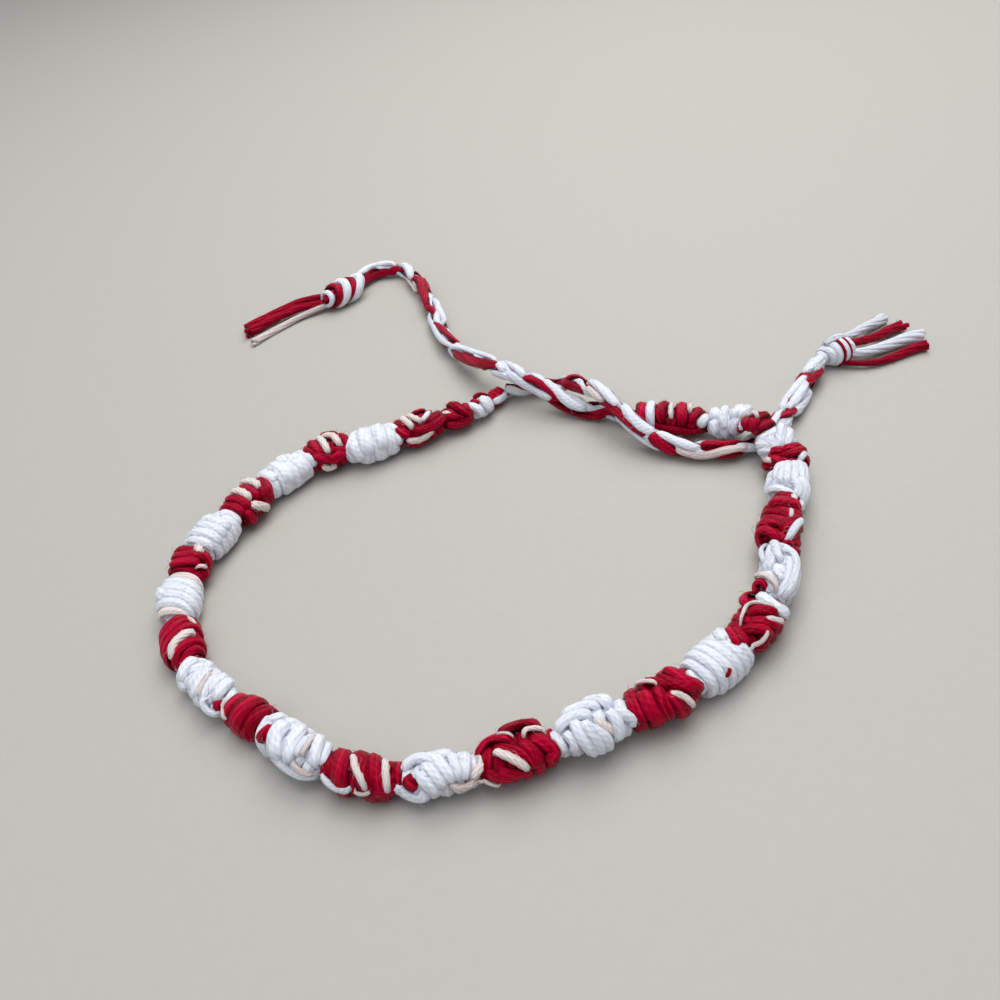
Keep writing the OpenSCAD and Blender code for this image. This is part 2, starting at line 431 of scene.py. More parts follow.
@dataclass
class Strand:
    """A length of floss: its centreline in millimetres, its outward side, and how thick it is.

    Its height is the flat share of its width, its plies turn once in the turn length, its swell gives its
    thickness along the way as shares, and its tone sets it apart from the others in its material.
    """

    way: np.ndarray
    width: float
    floss: Floss
    out: np.ndarray | None = None
    closed: bool = False
    flat: float = 0.82
    tone: float = 0.5
    turn_length: float = 22.0
    phase: float = 0.0
    swell: np.ndarray | None = None
    sides: int = 18
    groove: float = 0.2

    def total(self, far: np.ndarray) -> float:
        """The whole length, with the way back to the start if the strand is closed."""
        return far[-1] + (np.linalg.norm(self.way[0] - self.way[-1]) if self.closed else 0.0)

    def rings(self) -> tuple[np.ndarray, np.ndarray, np.ndarray, int]:
        """Sweep the section along the way.

        Returns:
            The rings' points, by ring and side, the distance along the way of each ring, how far each
            point looks outwards, from -1 to 1, and how many sides the section has turned where a
            closed strand meets its start.
        """
        p = self.way
        if self.closed:
            ahead, behind = np.roll(p, -1, axis=0), np.roll(p, 1, axis=0)
        else:
            ahead, behind = np.vstack([p[1:], p[-1:]]), np.vstack([p[:1], p[:-1]])
        t = unit(ahead - behind)
        if self.out is None:
            n = self.carried(t)
        else:
            n = unit(self.out - t * np.sum(self.out * t, axis=1, keepdims=True))
        b = np.cross(t, n)
        far = lengths(p)
        total = self.total(far)
        turns = total / self.turn_length
        if self.closed:
            turns = max(1, round(turns * LOBES)) / LOBES
        k = np.arange(self.sides)
        angle = 2 * np.pi * (k[None, :] / self.sides + turns * far[:, None] / total) + self.phase
        lobe = 1 - self.groove * (1 - np.abs(np.cos(LOBES * np.pi * k / self.sides)))
        size = np.ones(len(p)) if self.swell is None else self.swell
        r = 0.5 * self.width * lobe[None, :] * size[:, None]
        outward, sideward = np.cos(angle) * r * self.flat, np.sin(angle) * r
        ring = p[:, None, :] + (n[:, None, :] * outward[:, :, None] + b[:, None, :] * sideward[:, :, None])
        crown = np.full(angle.shape, FREE_CROWN) if self.out is None else np.cos(angle)
        return ring, far, crown, round(turns * self.sides) if self.closed else 0

    def carried(self, t: np.ndarray) -> np.ndarray:
        """Sideways directions that are carried along the way without turning about it.

        Args:
            t: The way's directions.

        Returns:
            A sideways direction for each of them.
        """
        start = np.array([0.0, 0.0, 1.0]) if abs(t[0][2]) < 0.9 else np.array([1.0, 0.0, 0.0])
        n = [unit(start - t[0] * (start @ t[0]))]
        for d in t[1:]:
            n.append(unit(n[-1] - d * (n[-1] @ d)))
        return np.array(n)


@dataclass(frozen=True)
class LooseFibre:
    """A fibre that stands out from a strand: its sizes in millimetres, and its bow as shares of its reach."""

    width: float = 0.038
    shortest: float = 0.2
    longest: float = 0.75
    root: float = 0.05
    lean: float = 0.8
    spread: float = 0.5
    rise: float = 0.55
    bow: float = 2.2
    taper: float = 0.6

    def on(self, strand: Strand, ring: np.ndarray, rng: np.random.Generator) -> Strand:
        """Grow a fibre at some place of a strand.

        Args:
            strand: The strand.
            ring: The points of its surface, by ring and side.
            rng: The source of the place.

        Returns:
            The fibre, as a strand of its own.
        """
        i, k = int(rng.integers(1, len(ring) - 1)), int(rng.integers(ring.shape[1]))
        out = unit(ring[i, k] - strand.way[i])
        along = unit(strand.way[i + 1] - strand.way[i - 1]) * rng.choice([-1, 1])
        aside = np.cross(along, out) * rng.uniform(-self.spread, self.spread)
        reach = rng.uniform(self.shortest, self.longest)
        t = np.linspace(0, 1, 4)[:, None]
        bent = t * (along * self.lean + aside) + out * self.rise * np.sin(t * self.bow)
        return Strand(ring[i, k] - out * self.root + reach * bent, self.width, strand.floss, tone=strand.tone,
                      sides=3, groove=0.0, flat=1.0, swell=1 - self.taper * t[:, 0])


@dataclass
class FlossPiece:
    """A piece made of strands, which becomes one mesh with a material for each floss."""

    name: str
    strands: list[Strand] = field(default_factory=list)
    fibre: LooseFibre = LooseFibre()

    def fuzz(self, rng: np.random.Generator, every: float = 0.4) -> None:
        """Add the short fibres that stand out from the strands.

        Args:
            rng: The source of their places.
            every: The length of strand for each fibre, in millimetres.
        """
        grown = []
        for s in self.strands:
            ring, far, _, _ = s.rings()
            grown += [self.fibre.on(s, ring, rng) for _ in range(int(far[-1] / every))]
        self.strands += grown

    def build(self, materials: list[bpy.types.Material]) -> bpy.types.Object:
        """Sweep all strands into one mesh, of which no point goes below the floor.

        Args:
            materials: The materials in the order of Floss.

        Returns:
            The object, at the origin, linked to the scene.
        """
        points, corners, sizes, uvs, tones, crowns, kinds = [], [], [], [], [], [], []
        base = 0
        for s in self.strands:
            ring, far, crown, shift = s.rings()
            count, sides = ring.shape[:2]
            points.append(ring.reshape(-1, 3))
            tones.append(np.full(count * sides, s.tone))
            crowns.append(crown.ravel())
            rows = np.arange(count if s.closed else count - 1)
            r, k = np.meshgrid(rows, np.arange(sides), indexing="ij")
            meets = np.where(r + 1 == count, shift, 0)
            r2, k2 = (r + 1) % count, (k + 1) % sides
            here, there = r * sides, r2 * sides
            quads = base + np.stack(
                [here + k, here + k2, there + (k2 + meets) % sides, there + (k + meets) % sides], axis=-1
            )
            last = s.total(far)
            u = np.concatenate([far, [last]])
            left, right = k / sides, (k + 1) / sides
            corner_uvs = ((u[r], left), (u[r], right), (u[r + 1], right), (u[r + 1], left))
            corners.append(quads.ravel())
            sizes.append(np.full(r.size, 4))
            uvs.append(np.stack([np.stack(pair, -1) for pair in corner_uvs], axis=2).reshape(-1, 2))
            faces = r.size
            if not s.closed:
                side = np.arange(sides)
                corners.append(base + np.concatenate([side[::-1], (count - 1) * sides + side]))
                sizes.append(np.array([sides, sides]))
                uvs.append(np.stack([np.repeat([0.0, last], sides), np.tile(side / sides, 2)], -1))
                faces += 2
            kinds.append(np.full(faces, s.floss.value))
            base += count * sides
        co = np.concatenate(points)
        co[:, 2] = np.maximum(co[:, 2], 0.0)
        values = {"tone": np.concatenate(tones), "crown": np.concatenate(crowns)}
        corners, sizes, uvs, kinds = (np.concatenate(part) for part in (corners, sizes, uvs, kinds))
        return self.mesh(co * MM, corners, sizes, uvs, values, kinds, materials)

    def mesh(
        self,
        co: np.ndarray,
        corners: np.ndarray,
        sizes: np.ndarray,
        uvs: np.ndarray,
        values: dict[str, np.ndarray],
        kinds: np.ndarray,
        materials: list[bpy.types.Material],
    ) -> bpy.types.Object:
        """Fill a mesh from arrays.

        Args:
            co: The points, in metres.
            corners: The point of each corner of the faces.
            sizes: How many corners each face has.
            uvs: The UV place of each corner.
            values: The points' own values by name.
            kinds: The number of each face's floss.
            materials: The materials in the order of Floss.

        Returns:
            The object, at the origin, linked to the scene.
        """
        mesh = bpy.data.meshes.new(self.name)
        mesh.vertices.add(len(co))
        mesh.vertices.foreach_set("co", co.ravel())
        mesh.loops.add(len(corners))
        mesh.loops.foreach_set("vertex_index", corners.astype(np.int32))
        mesh.polygons.add(len(sizes))
        starts = np.concatenate([[0], np.cumsum(sizes)[:-1]])
        mesh.polygons.foreach_set("loop_start", starts.astype(np.int32))
        mesh.polygons.foreach_set("loop_total", sizes.astype(np.int32))
        mesh.polygons.foreach_set("material_index", kinds.astype(np.int32))
        mesh.polygons.foreach_set("use_smooth", np.ones(len(sizes), bool))
        mesh.update()
        mesh.uv_layers.new(name="floss").data.foreach_set("uv", uvs.astype(np.float32).ravel())
        for name, value in values.items():
            mesh.attributes.new(name, "FLOAT", "POINT").data.foreach_set("value", value.astype(np.float32))
        mesh.validate()
        for material in materials:
            mesh.materials.append(material)
        made = bpy.data.objects.new(self.name, mesh)
        bpy.context.scene.collection.objects.link(made)
        return made


# ---------------------------------------------------------------- the band


@dataclass(frozen=True)
class Turn:
    """A turn of floss round the band: where along its group it lies, from -1 to 1, by side."""

    outer: float
    top: float
    inner: float
    width: float = 0.95
    stand: float = 0.0
    floss: Floss | None = None


@dataclass(frozen=True)
class Run:
    """A run of floss on a group or a tie, through points (place along it, angle round it)."""

    floss: Floss
    way: tuple[tuple[float, float], ...]
    width: float = 0.6
    stand: float = 0.1

    def curve(self, reach: float) -> tuple[np.ndarray, np.ndarray]:
        """The smooth way, and how far it dives at each point, from 1 at its ends to 0 past a share of it."""
        way = smooth(np.array(self.way), 8)
        return way, (1 - nearness(len(way), reach)) ** 2


@dataclass(frozen=True)
class Lay:
    """How the floss of a run lies.

    Share is how much of the run's width it takes, ends how wide its ends are beside its middle, and power
    how fast they widen. Its plies turn once in the turn length, in millimetres.
    """

    share: float = 1.0
    ends: float = 0.6
    turn_length: float = 22.0
    groove: float = 0.2
    flat: float = 0.72
    power: float = 0.7

    def strand(self, run: Run, both: np.ndarray, reach: float, rng: np.random.Generator) -> Strand:
        """Make a run's strand, which narrows towards its ends.

        Args:
            run: The run.
            both: Rows of a point and an outward direction.
            reach: The share of its length over which each end narrows.
            rng: The source of its tone and phase.

        Returns:
            The strand.
        """
        taper = self.ends + (1 - self.ends) * nearness(len(both), reach) ** self.power
        return Strand(both[:, :3], run.width * self.share, run.floss, both[:, 3:], flat=self.flat,
                      tone=rng.uniform(*TONES), phase=rng.uniform(*PHASES), swell=taper,
                      turn_length=self.turn_length, groove=self.groove)


SOFT_LAY = Lay()
TIGHT_LAY = Lay(share=0.9, ends=0.4, turn_length=5.0, groove=0.3)


@dataclass(frozen=True)
class Group:
    """A group of knots: its floss, its length, and its width and height as shares of the band's.

    A group that is drawn tight lies a little inside its form, by the millimetres of slim.
    """

    floss: Floss
    length: float
    width: float
    height: float
    turns: tuple[Turn, ...] = ()
    runs: tuple[Run, ...] = ()
    slim: float = 0.0


def even(count: int, lean: float = 0.12, width: float = 1.2, stand: float = -0.15) -> tuple[Turn, ...]:
    """Turns at even places along a group, which lean from the outer to the inner side."""
    places = [-1 + 2 / count * (k + 0.5) for k in range(count)]
    return tuple(Turn(p - lean, p, p + lean, width, stand) for p in places)


RED, WHITE, CREAM = Floss.RED, Floss.WHITE, Floss.CREAM

# From the band's left end to its right end. A run's points are its place along the group, from -1 to 1,
# and its angle round it: 0 outside the loop, 90 on top and 180 inside.
GROUPS = [
    Group(RED, 2.6, 0.46, 0.50, even(3, stand=0.0), (
        Run(WHITE, ((1.1, 150), (0.5, 165), (-0.2, 172), (-0.95, 170)), 0.9, 0.2),
    )),
    Group(WHITE, 2.8, 0.62, 0.64, even(3), (
        Run(RED, ((0.5, 60), (0.4, 85), (0.35, 105)), 0.7, 0.05),
        Run(WHITE, ((0.95, 75), (0.85, 110), (0.6, 150), (0.5, 190)), 1.1, 0.3),
        Run(WHITE, ((-0.2, 85), (-0.15, 120), (-0.1, 150), (-0.3, 180)), 1.1, 0.35),
        Run(RED, ((0.1, 62), (-0.4, 58), (-1.0, 70), (-1.4, 80)), 0.9, 0.3),
    )),
    Group(RED, 3.4, 0.76, 0.74, even(4), (
        Run(RED, ((0.25, 55), (0.1, 75), (-0.2, 105), (-0.5, 135), (-0.8, 168)), 1.25, 0.35),
        Run(RED, ((-0.8, 170), (-0.2, 178), (0.5, 178), (1.1, 170)), 1.1, 0.25),
        Run(RED, ((1.0, 110), (0.6, 130), (0.1, 150)), 1.0, 0.1),
        # This cream run lies where white floss is in shade: its darker cream is painted shade.
        Run(CREAM, ((1.1, 75), (0.75, 95), (0.6, 120)), 0.8, 0.05),
    )),
    Group(RED, 5.9, 0.88, 0.84, even(6), (
        Run(RED, ((1.0, 70), (0.95, 100), (0.8, 130), (0.6, 152)), 1.3, 0.3),
        Run(RED, ((0.75, 60), (0.7, 85), (0.62, 110)), 1.1, 0.2),
        Run(RED, ((0.05, 58), (-0.2, 62), (-0.45, 60)), 1.0, 0.2),
        Run(WHITE, ((-0.15, 112), (-0.35, 100), (-0.6, 80)), 0.7, 0.1),
        Run(RED, ((-0.9, 95), (-0.6, 115), (-0.3, 130)), 1.0, 0.15),
        Run(RED, ((-1.1, 125), (-0.75, 142), (-0.4, 150), (0.0, 150), (0.4, 140)), 1.1, 0.35),
        Run(CREAM, ((0.58, 62), (0.5, 85), (0.42, 108), (0.38, 128)), 1.0, 0.4),
        Run(CREAM, ((0.28, 72), (0.18, 88), (0.05, 104), (-0.05, 118)), 0.9, 0.4),
        Run(RED, ((0.7, 195), (0.3, 200), (-0.1, 196)), 1.0, 0.2),
        Run(CREAM, ((0.75, 172), (0.4, 180), (0.0, 178), (-0.45, 164)), 0.95, 0.35),
    )),
    Group(WHITE, 5.1, 1.00, 0.92, even(4, width=1.9, stand=0.0), (
        Run(WHITE, ((-0.8, 70), (-1.0, 95), (-1.1, 120), (-1.05, 150), (-0.8, 182)), 1.5, 0.35),
        Run(WHITE, ((-0.4, 60), (-0.35, 90), (-0.3, 130), (-0.25, 170)), 1.9, 0.2),
        Run(WHITE, ((0.35, 50), (0.3, 90), (0.28, 130), (0.3, 180)), 2.1, 0.2),
        Run(WHITE, ((0.8, 110), (0.7, 150), (0.5, 190)), 1.5, 0.2),
    )),
    Group(RED, 5.2, 0.98, 0.88, even(5), (
        Run(RED, ((0.95, 70), (0.85, 95), (0.75, 120), (0.7, 140)), 1.2, 0.2),
        Run(RED, ((0.55, 60), (0.5, 90), (0.45, 120), (0.4, 140)), 1.2, 0.25),
        Run(RED, ((0.1, 55), (-0.2, 60), (-0.5, 62)), 1.0, 0.3),
        Run(RED, ((-0.5, 68), (-0.85, 85), (-1.0, 115), (-1.0, 150)), 1.1, 0.25),
        Run(RED, ((-0.4, 130), (-0.7, 135), (-0.95, 130)), 0.9, 0.15),
        Run(RED, ((0.85, 125), (0.5, 148), (0.1, 163), (-0.4, 165), (-0.95, 145)), 1.2, 0.35),
        Run(CREAM, ((0.2, 68), (0.12, 90), (0.05, 115), (0.0, 142)), 1.0, 0.45),
        Run(CREAM, ((0.1, 78), (-0.2, 80), (-0.5, 92), (-0.75, 120)), 1.0, 0.5),
        Run(CREAM, ((0.6, 182), (0.2, 195), (-0.25, 188)), 1.0, 0.3),
    )),
    Group(WHITE, 5.6, 0.94, 0.86, even(4, width=2.0, stand=0.0), (
        Run(WHITE, ((-0.85, 70), (-1.05, 100), (-1.15, 130), (-1.0, 175)), 1.4, 0.35),
        Run(WHITE, ((-0.25, 35), (-0.2, 60), (-0.1, 100)), 1.8, 0.15),
        Run(WHITE, ((-0.4, 100), (-0.5, 140), (-0.45, 185)), 1.9, 0.15),
        Run(WHITE, ((0.3, 50), (0.2, 90), (0.2, 135), (0.3, 180)), 2.1, 0.15),
        Run(WHITE, ((0.8, 60), (0.75, 95), (0.7, 130)), 1.6, 0.15),
    )),
    Group(RED, 5.8, 0.96, 0.86, even(6), (
        Run(RED, ((-0.2, 60), (-0.22, 85), (-0.2, 110), (-0.15, 140)), 1.1, 0.25),
        Run(RED, ((-0.95, 70), (-0.95, 100), (-0.8, 130), (-0.6, 160)), 1.2, 0.35),
        Run(RED, ((-0.65, 120), (-0.5, 140), (-0.35, 160)), 1.1, 0.3),
        Run(RED, ((0.85, 60), (0.75, 90), (0.7, 120), (0.7, 150)), 1.2, 0.25),
        Run(RED, ((0.5, 60), (0.4, 90), (0.38, 120), (0.4, 150)), 1.2, 0.3),
        Run(RED, ((0.6, 150), (0.6, 175), (0.45, 198)), 1.2, 0.35),
        Run(CREAM, ((-0.38, 52), (-0.55, 70), (-0.62, 92), (-0.52, 114)), 1.1, 0.5),
        Run(CREAM, ((0.2, 62), (0.05, 84), (0.08, 106), (0.14, 122)), 1.1, 0.5),
        Run(CREAM, ((0.3, 138), (0.12, 158), (-0.1, 176), (-0.3, 192)), 1.15, 0.45),
    )),
    Group(WHITE, 5.2, 1.00, 0.88, even(6, width=1.25, stand=0.0), (
        Run(WHITE, ((-0.85, 80), (-1.0, 105), (-1.05, 135), (-0.9, 178)), 1.2, 0.35),
        Run(WHITE, ((-0.35, 50), (-0.3, 80), (-0.3, 110), (-0.35, 150)), 1.5, 0.3),
        Run(WHITE, ((-0.02, 52), (0.0, 85), (0.02, 120), (0.05, 160)), 1.2, 0.25),
        Run(WHITE, ((0.45, 50), (0.42, 85), (0.4, 120), (0.42, 165)), 1.3, 0.2),
        Run(WHITE, ((0.8, 55), (0.78, 85), (0.78, 120), (0.85, 165)), 1.2, 0.2),
    )),
    Group(RED, 3.4, 0.92, 0.86, even(4), (
        Run(RED, ((-0.8, 55), (-0.6, 62), (0.0, 60)), 0.8, 0.2),
        Run(RED, ((-0.5, 55), (-0.45, 85), (-0.5, 105)), 1.1, 0.2),
        Run(RED, ((0.1, 50), (0.1, 80), (0.0, 110), (-0.1, 150)), 1.3, 0.3),
        Run(RED, ((0.65, 50), (0.6, 80), (0.5, 110), (0.4, 140)), 1.2, 0.25),
        Run(RED, ((-0.5, 140), (-0.2, 160), (0.0, 180)), 1.1, 0.2),
        Run(RED, ((1.3, 175), (0.9, 182), (0.4, 186)), 1.3, 0.3),
        Run(CREAM, ((-1.35, 98), (-0.9, 108), (-0.5, 118), (-0.3, 124)), 1.1, 0.4),
        Run(CREAM, ((0.8, 138), (0.65, 152), (0.5, 166)), 0.5, 0.35),
    )),
    Group(WHITE, 5.7, 0.98, 0.92, even(6) + (
        Turn(-0.7, -0.85, -0.6, 1.2, 0.05, CREAM), Turn(-0.55, -0.45, -0.1, 1.3, 0.1),
        Turn(-0.3, -0.1, 0.35, 1.3, 0.15), Turn(0.0, 0.2, 0.7, 1.3, 0.15), Turn(0.35, 0.55, 0.95, 1.25, 0.1),
        Turn(0.7, 0.85, 1.05, 1.2, 0.1, CREAM),
    ), (
        Run(WHITE, ((-0.3, 18), (-0.15, 38), (0.15, 60)), 1.4, 0.35),
    ), slim=0.25),
    Group(RED, 5.9, 0.92, 0.88, even(6) + (
        Turn(-0.2, -0.8, -0.85, 1.15, 0.1), Turn(0.2, -0.42, -0.55, 1.15, 0.15),
        Turn(0.55, -0.07, -0.2, 1.15, 0.15), Turn(1.05, 0.6, 0.5, 1.15, 0.15), Turn(1.1, 0.9, 0.8, 1.1, 0.1),
    ), (
        Run(CREAM, ((-0.75, 125), (-0.5, 140), (-0.3, 150)), 0.6, 0.2),
        Run(CREAM, ((0.75, 48), (0.65, 55), (0.4, 75), (0.2, 100), (0.1, 125), (0.15, 142)), 1.15, 0.3),
    ), slim=0.3),
    Group(WHITE, 7.3, 0.92, 0.88, even(7), (
        Run(WHITE, ((0.1, 38), (0.2, 15), (0.3, -5)), 1.0, 0.0),
        Run(WHITE, ((0.45, 38), (0.5, 15), (0.55, -5)), 1.0, 0.0),
        Run(WHITE, ((-0.75, 40), (-0.6, 15), (-0.35, 0)), 1.1, 0.15),
        Run(WHITE, ((-0.85, 115), (-0.8, 90), (-0.72, 65), (-0.6, 40), (-0.55, 15)), 1.3, 0.25),
        Run(WHITE, ((-0.3, 130), (-0.15, 100), (0.0, 70), (0.1, 40), (0.1, 10)), 1.1, 0.15),
        Run(WHITE, ((-0.55, 150), (-0.35, 125), (-0.25, 95), (-0.15, 60), (-0.1, 25)), 1.1, 0.1),
        Run(WHITE, ((0.0, 150), (0.1, 125), (0.2, 95), (0.38, 60), (0.45, 30)), 1.1, 0.15),
        Run(CREAM, ((0.0, 110), (0.12, 92), (0.25, 70), (0.4, 45)), 0.55, 0.25),
        Run(RED, ((0.78, 70), (0.82, 50), (0.85, 32)), 1.1, 0.05),
        Run(WHITE, ((0.45, 155), (0.55, 125), (0.65, 95), (0.72, 72)), 1.2, 0.3),
        Run(WHITE, ((0.85, 140), (0.92, 110), (0.95, 85)), 0.9, 0.15),
        Run(WHITE, ((0.2, 160), (0.3, 130), (0.38, 100), (0.5, 75)), 1.0, 0.2),
        Run(WHITE, ((0.5, 55), (0.55, 35), (0.72, 18), (0.95, 6)), 0.75, 0.3),
    ), slim=0.35),
    Group(RED, 4.6, 0.80, 0.88, even(5) + (
        Turn(-0.62, -0.68, -0.66, 1.7, 0.1), Turn(-0.05, -0.1, -0.04, 2.0, 0.25),
        Turn(0.56, 0.56, 0.62, 1.8, 0.15),
    ), (
        Run(RED, ((0.3, 20), (0.5, 0), (0.75, -20)), 1.1, 0.3),
        Run(CREAM, ((-1.05, 110), (-1.1, 75), (-0.95, 45), (-0.55, 20)), 0.6, 0.35),
    ), slim=0.3),
    Group(WHITE, 6.8, 0.94, 0.96, even(7) + (
        Turn(-0.8, -1.02, -1.0, 0.8, 0.2), Turn(-0.62, -0.85, -0.9, 0.9, 0.1),
    ), (
        Run(WHITE, ((-0.98, 85), (-0.85, 100), (-0.7, 125)), 1.0, 0.2),
        Run(RED, ((-0.72, 32), (-0.68, 55), (-0.6, 80)), 1.2, 0.3),
        Run(WHITE, ((-0.3, 15), (0.1, 5), (0.6, 0), (1.0, 5)), 1.0, 0.1),
        Run(WHITE, ((0.4, 105), (0.45, 85), (0.5, 62)), 0.7, 0.3),
        Run(CREAM, ((0.45, 125), (0.55, 95), (0.62, 68)), 0.6, 0.3),
        Run(WHITE, ((-0.42, 105), (-0.36, 80), (-0.2, 55), (0.05, 28)), 1.6, 0.4),
        Run(WHITE, ((-0.05, 125), (0.08, 105), (0.2, 80), (0.3, 58), (0.32, 38)), 1.3, 0.4),
        Run(WHITE, ((0.55, 140), (0.7, 110), (0.85, 82), (0.95, 58)), 1.1, 0.35),
        Run(WHITE, ((0.85, 150), (0.95, 115), (1.02, 85), (1.05, 65)), 0.9, 0.3),
        Run(CREAM, ((0.45, 45), (0.65, 30), (0.95, 12)), 0.6, 0.2),
    ), slim=0.2),
    Group(RED, 6.4, 0.82, 0.94, even(7) + (
        Turn(-0.75, -0.86, -0.95, 1.5, 0.1), Turn(-0.35, -0.52, -0.72, 1.7, 0.2),
        Turn(0.35, 0.05, -0.2, 1.5, 0.2), Turn(0.62, 0.38, 0.15, 1.4, 0.15), Turn(1.0, 0.93, 0.85, 1.3, 0.1),
    ), (
        Run(RED, ((0.3, 5), (0.6, 12), (0.95, 18)), 1.1, 0.15),
        Run(CREAM, ((0.3, 20), (0.25, 40), (0.12, 62), (-0.1, 88), (-0.35, 118)), 0.75, 0.35),
        Run(CREAM, ((0.76, 10), (0.77, 35), (0.75, 58), (0.68, 92), (0.55, 122)), 0.75, 0.35),
        Run(CREAM, ((0.0, 14), (0.2, 12), (0.42, 22)), 0.45, 0.3),
        Run(WHITE, ((-0.9, 35), (-0.75, 18), (-0.4, 8), (-0.1, 14)), 0.7, 0.3),
    ), slim=0.28),
    Group(WHITE, 6.1, 0.86, 0.96, even(6), (
        Run(RED, ((-0.85, 60), (-0.75, 45), (-0.6, 32)), 1.2, 0.05),
        Run(CREAM, ((0.2, 30), (0.4, 12), (0.65, 10), (0.9, 22)), 0.8, 0.2),
        Run(WHITE, ((-1.15, 35), (-1.1, 10), (-0.85, -10), (-0.55, -8), (-0.4, 10)), 1.15, 0.25),
        Run(WHITE, ((-0.45, 78), (-0.4, 55), (-0.2, 28), (-0.15, 8)), 1.2, 0.28),
        Run(WHITE, ((-0.45, 98), (-0.2, 75), (-0.05, 48), (0.05, 27)), 1.1, 0.3),
        Run(WHITE, ((-0.95, 95), (-0.85, 112), (-0.6, 118), (-0.15, 105), (0.07, 80), (0.22, 57), (0.25, 32)),
            1.2, 0.38),
        Run(WHITE, ((-0.2, 150), (0.0, 130), (0.3, 125)), 1.2, 0.2),
        Run(WHITE, ((0.3, 115), (0.37, 90), (0.42, 65), (0.42, 38)), 0.85, 0.3),
        Run(WHITE, ((0.68, 112), (0.65, 80), (0.6, 58), (0.55, 40)), 1.0, 0.3),
        Run(CREAM, ((0.95, 115), (1.05, 88), (1.03, 65), (0.85, 42), (0.72, 30)), 0.9, 0.35),
    ), slim=0.28),
    Group(RED, 6.0, 0.92, 0.94, even(6), (
        Run(RED, ((-0.9, 25), (-0.6, 12), (-0.3, 5)), 1.1, 0.1),
        Run(RED, ((-0.6, 30), (-0.35, 18), (0.0, 8)), 1.1, 0.1),
        Run(RED, ((-0.6, 98), (-0.1, 72), (0.15, 42), (0.2, 20)), 1.1, 0.2),
        Run(RED, ((0.1, 90), (0.3, 65), (0.35, 40), (0.3, 22)), 1.1, 0.25),
        Run(RED, ((0.42, 92), (0.65, 75), (0.85, 42), (0.62, 18)), 1.2, 0.35),
        Run(CREAM, ((0.2, 98), (0.35, 108), (0.6, 106), (0.8, 100)), 0.6, 0.35),
        Run(RED, ((-0.4, 118), (-0.05, 135), (0.35, 138), (0.7, 122)), 1.3, 0.55),
        Run(RED, ((-1.1, 112), (-0.8, 125), (-0.45, 118), (-0.1, 100)), 1.1, 0.3),
        Run(CREAM, ((-0.5, 118), (-0.25, 112), (-0.05, 100)), 0.35, 0.4),
        Run(CREAM, ((-0.65, 88), (-0.5, 78), (-0.3, 65), (-0.05, 42), (0.1, 18)), 0.85, 0.42),
        Run(CREAM, ((-1.2, 8), (-1.0, 0), (-0.65, -5)), 0.45, 0.3),
    ), slim=0.12),
    Group(WHITE, 6.0, 0.88, 0.98, (
        Turn(-0.93, -0.83, -0.71, 1.2, -0.25), Turn(-0.62, -0.5, -0.38, 1.2, -0.4),
        Turn(-0.26, -0.17, -0.05, 1.2, -0.2), Turn(0.1, 0.17, 0.29, 1.2, -0.15),
        Turn(0.42, 0.5, 0.62, 1.2, -0.4), Turn(0.76, 0.83, 0.95, 1.2, -0.2),
    ), (
        Run(WHITE, ((-1.05, 100), (-1.05, 70), (-1.0, 40), (-0.95, 12)), 0.9, 0.25),
        Run(WHITE, ((-0.8, 75), (-0.72, 55), (-0.68, 35), (-0.75, 15)), 0.9, 0.2),
        Run(CREAM, ((0.05, 78), (0.15, 60), (0.3, 40), (0.4, 22)), 0.9, 0.05),
        Run(WHITE, ((-0.35, 72), (-0.1, 50), (0.08, 25), (0.14, -12)), 1.1, 0.4),
        Run(WHITE, ((-0.3, 80), (-0.25, 60), (-0.15, 35), (-0.02, -14)), 1.2, 0.45),
        Run(WHITE, ((-0.5, 95), (-0.5, 58), (-0.4, 28), (-0.18, -12)), 1.1, 0.4),
        Run(WHITE, ((-1.0, 92), (-0.7, 98), (-0.3, 98), (0.0, 88)), 1.1, 0.3),
        Run(WHITE, ((-0.7, 120), (-0.3, 118), (0.0, 115), (0.3, 100)), 1.1, 0.35),
        Run(WHITE, ((-0.1, 125), (0.2, 128), (0.45, 118), (0.6, 95)), 1.2, 0.35),
        Run(WHITE, ((0.45, 85), (0.52, 62), (0.5, 30), (0.42, 5)), 1.0, 0.3),
        Run(WHITE, ((0.62, 82), (0.8, 62), (0.95, 35), (0.88, 18)), 1.0, 0.3),
    )),
    Group(RED, 6.1, 0.92, 0.92, (
        Turn(-0.84, -0.76, -0.66, 1.5, -0.15), Turn(-0.46, -0.4, -0.3, 1.5, -0.2),
        Turn(-0.1, -0.04, 0.06, 1.3, -0.35), Turn(0.3, 0.34, 0.44, 1.4, -0.1),
        Turn(0.72, 0.74, 0.82, 1.5, -0.3),
    ), (
        Run(RED, ((-0.85, 100), (-0.87, 75), (-0.87, 50), (-0.8, 25)), 1.5, 0.15),
        Run(RED, ((-0.5, 100), (-0.55, 75), (-0.55, 50), (-0.48, 25), (-0.42, 0)), 1.6, 0.25),
        Run(RED, ((0.0, 62), (0.1, 42), (0.18, 20), (0.26, -12)), 1.5, 0.35),
        Run(RED, ((-0.15, 92), (-0.18, 75), (-0.22, 55), (-0.18, 30), (-0.08, 5)), 1.2, 0.25),
        Run(RED, ((-0.3, 122), (-0.05, 105), (0.15, 85)), 1.1, 0.15),
        Run(RED, ((0.1, 125), (0.2, 100), (0.4, 75), (0.65, 52), (0.75, 40)), 1.1, 0.15),
        Run(RED, ((0.4, 130), (0.5, 105), (0.65, 75), (0.85, 45), (0.95, 22)), 1.1, 0.3),
        Run(CREAM, ((-0.6, 118), (-0.4, 112), (-0.2, 102), (-0.08, 92)), 0.5, 0.35),
        Run(CREAM, ((0.05, 68), (0.25, 52), (0.4, 30), (0.5, 5)), 0.7, 0.38),
    )),
